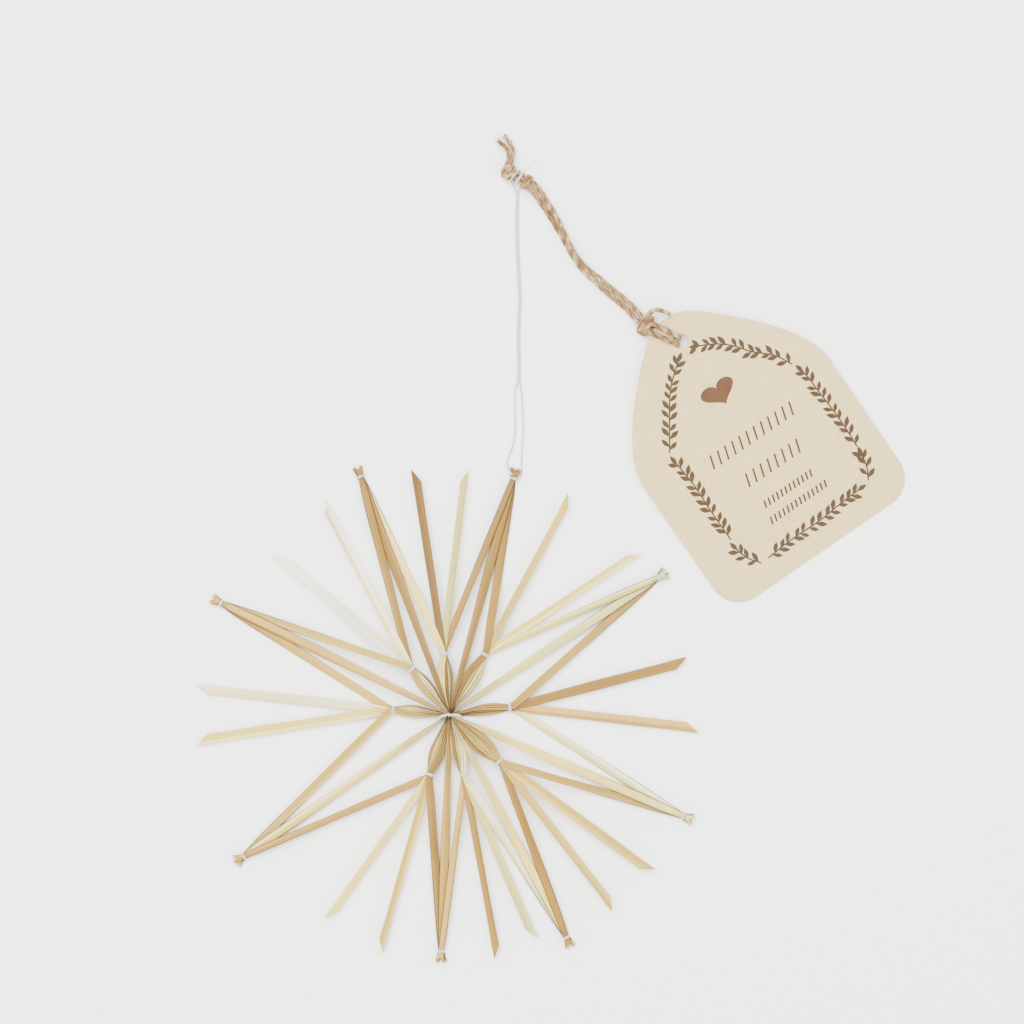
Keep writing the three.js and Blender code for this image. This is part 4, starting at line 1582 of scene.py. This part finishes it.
@dataclass
class SwingTag:
    """The card tag, cut to a shield shape and printed with sprigs, a heart and plain strokes."""

    width_mm: float = 67.5
    thickness_mm: float = 0.6
    below_mm: float = 75.9
    above_mm: float = 8.1
    corner_mm: float = 9.0
    hole_mm: float = 4.5
    shoulder_mm: float = -29.1
    bend_mm: tuple[float, float] = (22.0, -6.0)
    top_mm: tuple[float, float] = (8.5, 5.2)
    crown_mm: tuple[float, float, float] = (6.5, 6.9, 3.6)
    at_mm: tuple[float, float, float] = (50.1, 41.1, 1.95)
    angle: float = 34.5
    edge_gap_mm: float = 0.02
    edge_mm: float = 0.1

    def matrix(self) -> Matrix:
        """Gives the card's place, from its own frame with the hole at the origin."""
        tilt = math.asin((self.at_mm[2] - self.edge_gap_mm) / self.below_mm)
        place = Matrix.Translation(from_tip([self.at_mm])[0])
        return place @ Matrix.Rotation(math.radians(self.angle), 4, "Z") @ Matrix.Rotation(tilt, 4, "X")

    @staticmethod
    def bend(points: Sequence[tuple[float, float]], steps: int) -> list[tuple[float, float]]:
        """Samples a cubic curve without its first point.

        Args:
            points: its four control points.
            steps: number of samples.

        Returns:
            The samples.
        """
        p = [Vector(q) for q in points]
        result = []
        for i in range(1, steps + 1):
            t = i / steps
            q = p[0] * (1 - t) ** 3 + p[1] * (3 * t * (1 - t) ** 2)
            q += p[2] * (3 * t * t * (1 - t)) + p[3] * t ** 3
            result.append((q.x, q.y))
        return result

    def corner(self, side: int, start: float, count: int) -> list[tuple[float, float]]:
        """Rounds one of the two lower corners.

        Args:
            side: 1 for the right corner, -1 for the left one.
            start: the angle at which it starts.
            count: number of points, 7.5 degrees apart.

        Returns:
            The points, anticlockwise.
        """
        r = self.corner_mm
        middle = (side * (self.width_mm / 2 - r), r - self.below_mm)
        turns = [level_direction(start + 7.5 * i) * r for i in range(count)]
        return [(middle[0] + turn.x, middle[1] + turn.y) for turn in turns]

    def outline(self) -> list[tuple[float, float]]:
        """Gives the card's edge in its own frame, anticlockwise, in millimetres."""
        half, r = self.width_mm / 2, self.corner_mm
        points = [(-half + r, -self.below_mm), *self.corner(1, -90, 13)]
        right = [(half, self.shoulder_mm)]
        start = self.shoulder_mm
        right += self.bend([(half, start), (half, start + r), self.bend_mm, self.top_mm], 16)
        x, y, top = self.crown_mm
        right += self.bend([self.top_mm, (x, y), (top, self.above_mm), (0.0, self.above_mm)], 10)
        points += right
        points += [(-x, y) for x, y in reversed(right[:-1])]
        return points + self.corner(-1, 180, 12)

    def top_face(self) -> bmesh.types.BMesh:
        """Cuts the card's upper face with its hole, and lays the print in it.

        Returns:
            The face in its own frame, in millimetres. Each part's material number is its ink.
        """
        radius = self.hole_mm / 2 + self.edge_mm
        hole = [tuple((level_direction(11.25 * i) * radius).xy) for i in range(32)]
        shapes = [(Ink.BARE, self.inset(self.outline())), (Ink.BARE, hole), *TagPrint().shapes()]
        points: list[Vector] = []
        loops: list[list[int]] = []
        for _, loop in shapes:
            loops.append(list(range(len(points), len(points) + len(loop))))
            points += [Vector(p) for p in loop]
        spots, _, faces, _, _, sources = delaunay_2d_cdt(points, [], loops, 1, 1e-5)
        card = bmesh.new()
        verts = [card.verts.new((p.x, p.y, self.thickness_mm)) for p in spots]
        for corners, inside in zip(faces, sources):
            if 1 not in inside:
                face = card.faces.new([verts[i] for i in corners])
                face.material_index = max(shapes[i][0].value for i in inside)
        bmesh.ops.delete(card, geom=[v for v in card.verts if not v.link_faces], context="VERTS")
        return card

    def inset(self, loop: list[tuple[float, float]]) -> list[tuple[float, float]]:
        """Moves an anticlockwise loop inwards by the width of the card's rounded edge."""
        moved = []
        for before, point, after in zip([loop[-1], *loop], loop, [*loop[1:], loop[0]]):
            heading = (Vector(after) - Vector(before)).normalized()
            moved.append((point[0] - heading.y * self.edge_mm, point[1] + heading.x * self.edge_mm))
        return moved

    def add_edge(self, card: bmesh.types.BMesh) -> None:
        """Closes the card under its upper face with a slightly rounded edge and a bare back.

        Args:
            card: the upper face.
        """
        number = card.verts.layers.int.new("rim")
        top = set(card.faces)
        rim = [e for e in card.edges if e.is_boundary]
        outward: dict[bmesh.types.BMVert, Vector] = {}
        for edge in rim:
            a, b = edge.verts
            out = Vector((b.co.y - a.co.y, a.co.x - b.co.x, 0.0)).normalized()
            if out.dot(edge.link_faces[0].calc_center_median() - a.co) > 0:
                out.negate()
            for vert in (a, b):
                outward[vert] = outward.get(vert, Vector()) + out
        places = []
        for vert, out in outward.items():
            vert[number] = len(places)
            places.append((vert.co.copy(), out.normalized() * self.edge_mm))
        copied = bmesh.ops.duplicate(card, geom=list(top))["geom"]
        for vert in (g for g in copied if isinstance(g, bmesh.types.BMVert)):
            vert.co.z = 0.0
        for push, height in ((1.0, self.thickness_mm - self.edge_mm), (1.0, self.edge_mm), (0.0, 0.0)):
            grown = bmesh.ops.extrude_edge_only(card, edges=rim)["geom"]
            rim = [g for g in grown if isinstance(g, bmesh.types.BMEdge)]
            for vert in (g for g in grown if isinstance(g, bmesh.types.BMVert)):
                foot, out = places[vert[number]]
                vert.co = foot + out * push
                vert.co.z = height
        for face in card.faces:
            if face not in top:
                face.material_index = Ink.BARE.value
        bmesh.ops.remove_doubles(card, verts=card.verts[:], dist=1e-4)
        bmesh.ops.recalc_face_normals(card, faces=card.faces[:])

    def build(self, finishes: Sequence[bpy.types.Material]) -> bpy.types.Object:
        """Cuts, prints and places the card.

        Args:
            finishes: the card's own material, then one for each ink.

        Returns:
            The finished piece.
        """
        card = self.top_face()
        self.add_edge(card)
        bmesh.ops.scale(card, vec=(MM, MM, MM), verts=card.verts[:])
        bmesh.ops.transform(card, matrix=self.matrix(), verts=card.verts[:])
        obj = to_object(card, "tag_card", *finishes)
        obj.data.shade_flat()
        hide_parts("tag")
        return obj


# The studio


@dataclass
class Studio:
    """The plain pale table, the soft light and the camera that looks straight down."""

    aim: tuple[float, float] = (0.0186, 0.0606)
    height: float = 1.5
    view_width: float = 0.3072
    table_gap: float = 0.05 * MM

    def place_camera(self) -> None:
        """Hangs the camera over the table, as in the photograph."""
        data = bpy.data.cameras.new("overhead")
        data.sensor_width = 36.0
        data.lens = data.sensor_width * self.height / self.view_width
        data.clip_end = 20.0
        camera = bpy.data.objects.new("overhead", data)
        camera.location = (*self.aim, self.height)
        bpy.context.scene.collection.objects.link(camera)
        bpy.context.scene.camera = camera

    def lay_table(self) -> None:
        """Lays the pale table under the ornament."""
        material, tree = blank_material("pale_table")
        shader = add_node(tree, "ShaderNodeBsdfPrincipled", {
            "Base Color": to_linear("FCFCFB"), "Roughness": 0.9, "Specular IOR Level": 0.1})
        close_material(tree, shader)
        shape = bmesh.new()
        bmesh.ops.create_grid(shape, x_segments=2, y_segments=2, size=3.0)
        bmesh.ops.translate(shape, vec=(*self.aim, -self.table_gap), verts=shape.verts[:])
        mesh = bpy.data.meshes.new("table")
        shape.to_mesh(mesh)
        shape.free()
        mesh.materials.append(material)
        table = bpy.data.objects.new("table", mesh)
        bpy.context.scene.collection.objects.link(table)

    def add_light(
        self, name: str, place: tuple[float, float, float], size: float, watts: float,
    ) -> None:
        """Adds a soft square light that faces the ornament.

        Args:
            name: the light's name.
            place: where it hangs.
            size: the length of its side.
            watts: its power.
        """
        data = bpy.data.lights.new(name, "AREA")
        data.size = size
        data.energy = watts
        light = bpy.data.objects.new(name, data)
        light.location = place
        towards = Vector((*self.aim, 0)) - Vector(place)
        light.rotation_euler = towards.to_track_quat("-Z", "Y").to_euler()
        bpy.context.scene.collection.objects.link(light)

    def light_room(self) -> None:
        """Lights the table evenly, a little stronger from the upper left."""
        world = bpy.data.worlds.new("white_room")
        world.use_nodes = True
        tree = world.node_tree
        tree.nodes.clear()
        sky = add_node(tree, "ShaderNodeBackground", {"Color": to_linear("FFFFFF"), "Strength": 1.95})
        add_node(tree, "ShaderNodeOutputWorld", {"Surface": sky.outputs["Background"]})
        bpy.context.scene.world = world
        self.add_light("overhead_softbox", (-0.35, 0.55, 1.3), 1.1, 55.0)
        self.add_light("side_fill", (0.9, -0.5, 0.9), 0.9, 13.0)


def main() -> None:
    """Places the camera, builds every piece and lights the scene."""
    studio = Studio()
    studio.place_camera()
    thread = ThreadFinish().build()
    jute = JuteFinish().build()
    knot = EndKnot()
    pieces = [*HangingThread().build(knot, thread), *JuteTwine().build(knot, jute)]
    straw = StrawFinish().build()
    for number, tones in enumerate(tones_of_rays(), 1):
        pieces.append(Straw(number, tones).build(straw))
    pieces.append(MiddleTie().build(thread))
    for number in range(1, 9):
        for node in (f"inner_tie_{number}", f"tip_tie_{number}"):
            pieces.append(Tie(node, WHISKERS_MM.get(node, USUAL_WHISKERS_MM)).build(thread))
    inks = [
        CardFinish("recycled_card", "CDB684", "C2AA78").build(),
        CardFinish("olive_brown_ink", "42382A", "4C3A28").build(),
        CardFinish("rust_brown_ink", "463426", "4C3828").build(),
        CardFinish("tan_heart_ink", "543A28", "5C412C").build(),
    ]
    pieces.append(SwingTag().build(inks))
    for piece in pieces:
        log.info("%s has %d faces", piece.name, len(piece.data.polygons))
    studio.lay_table()
    studio.light_room()


if __name__ == "__main__":
    main()
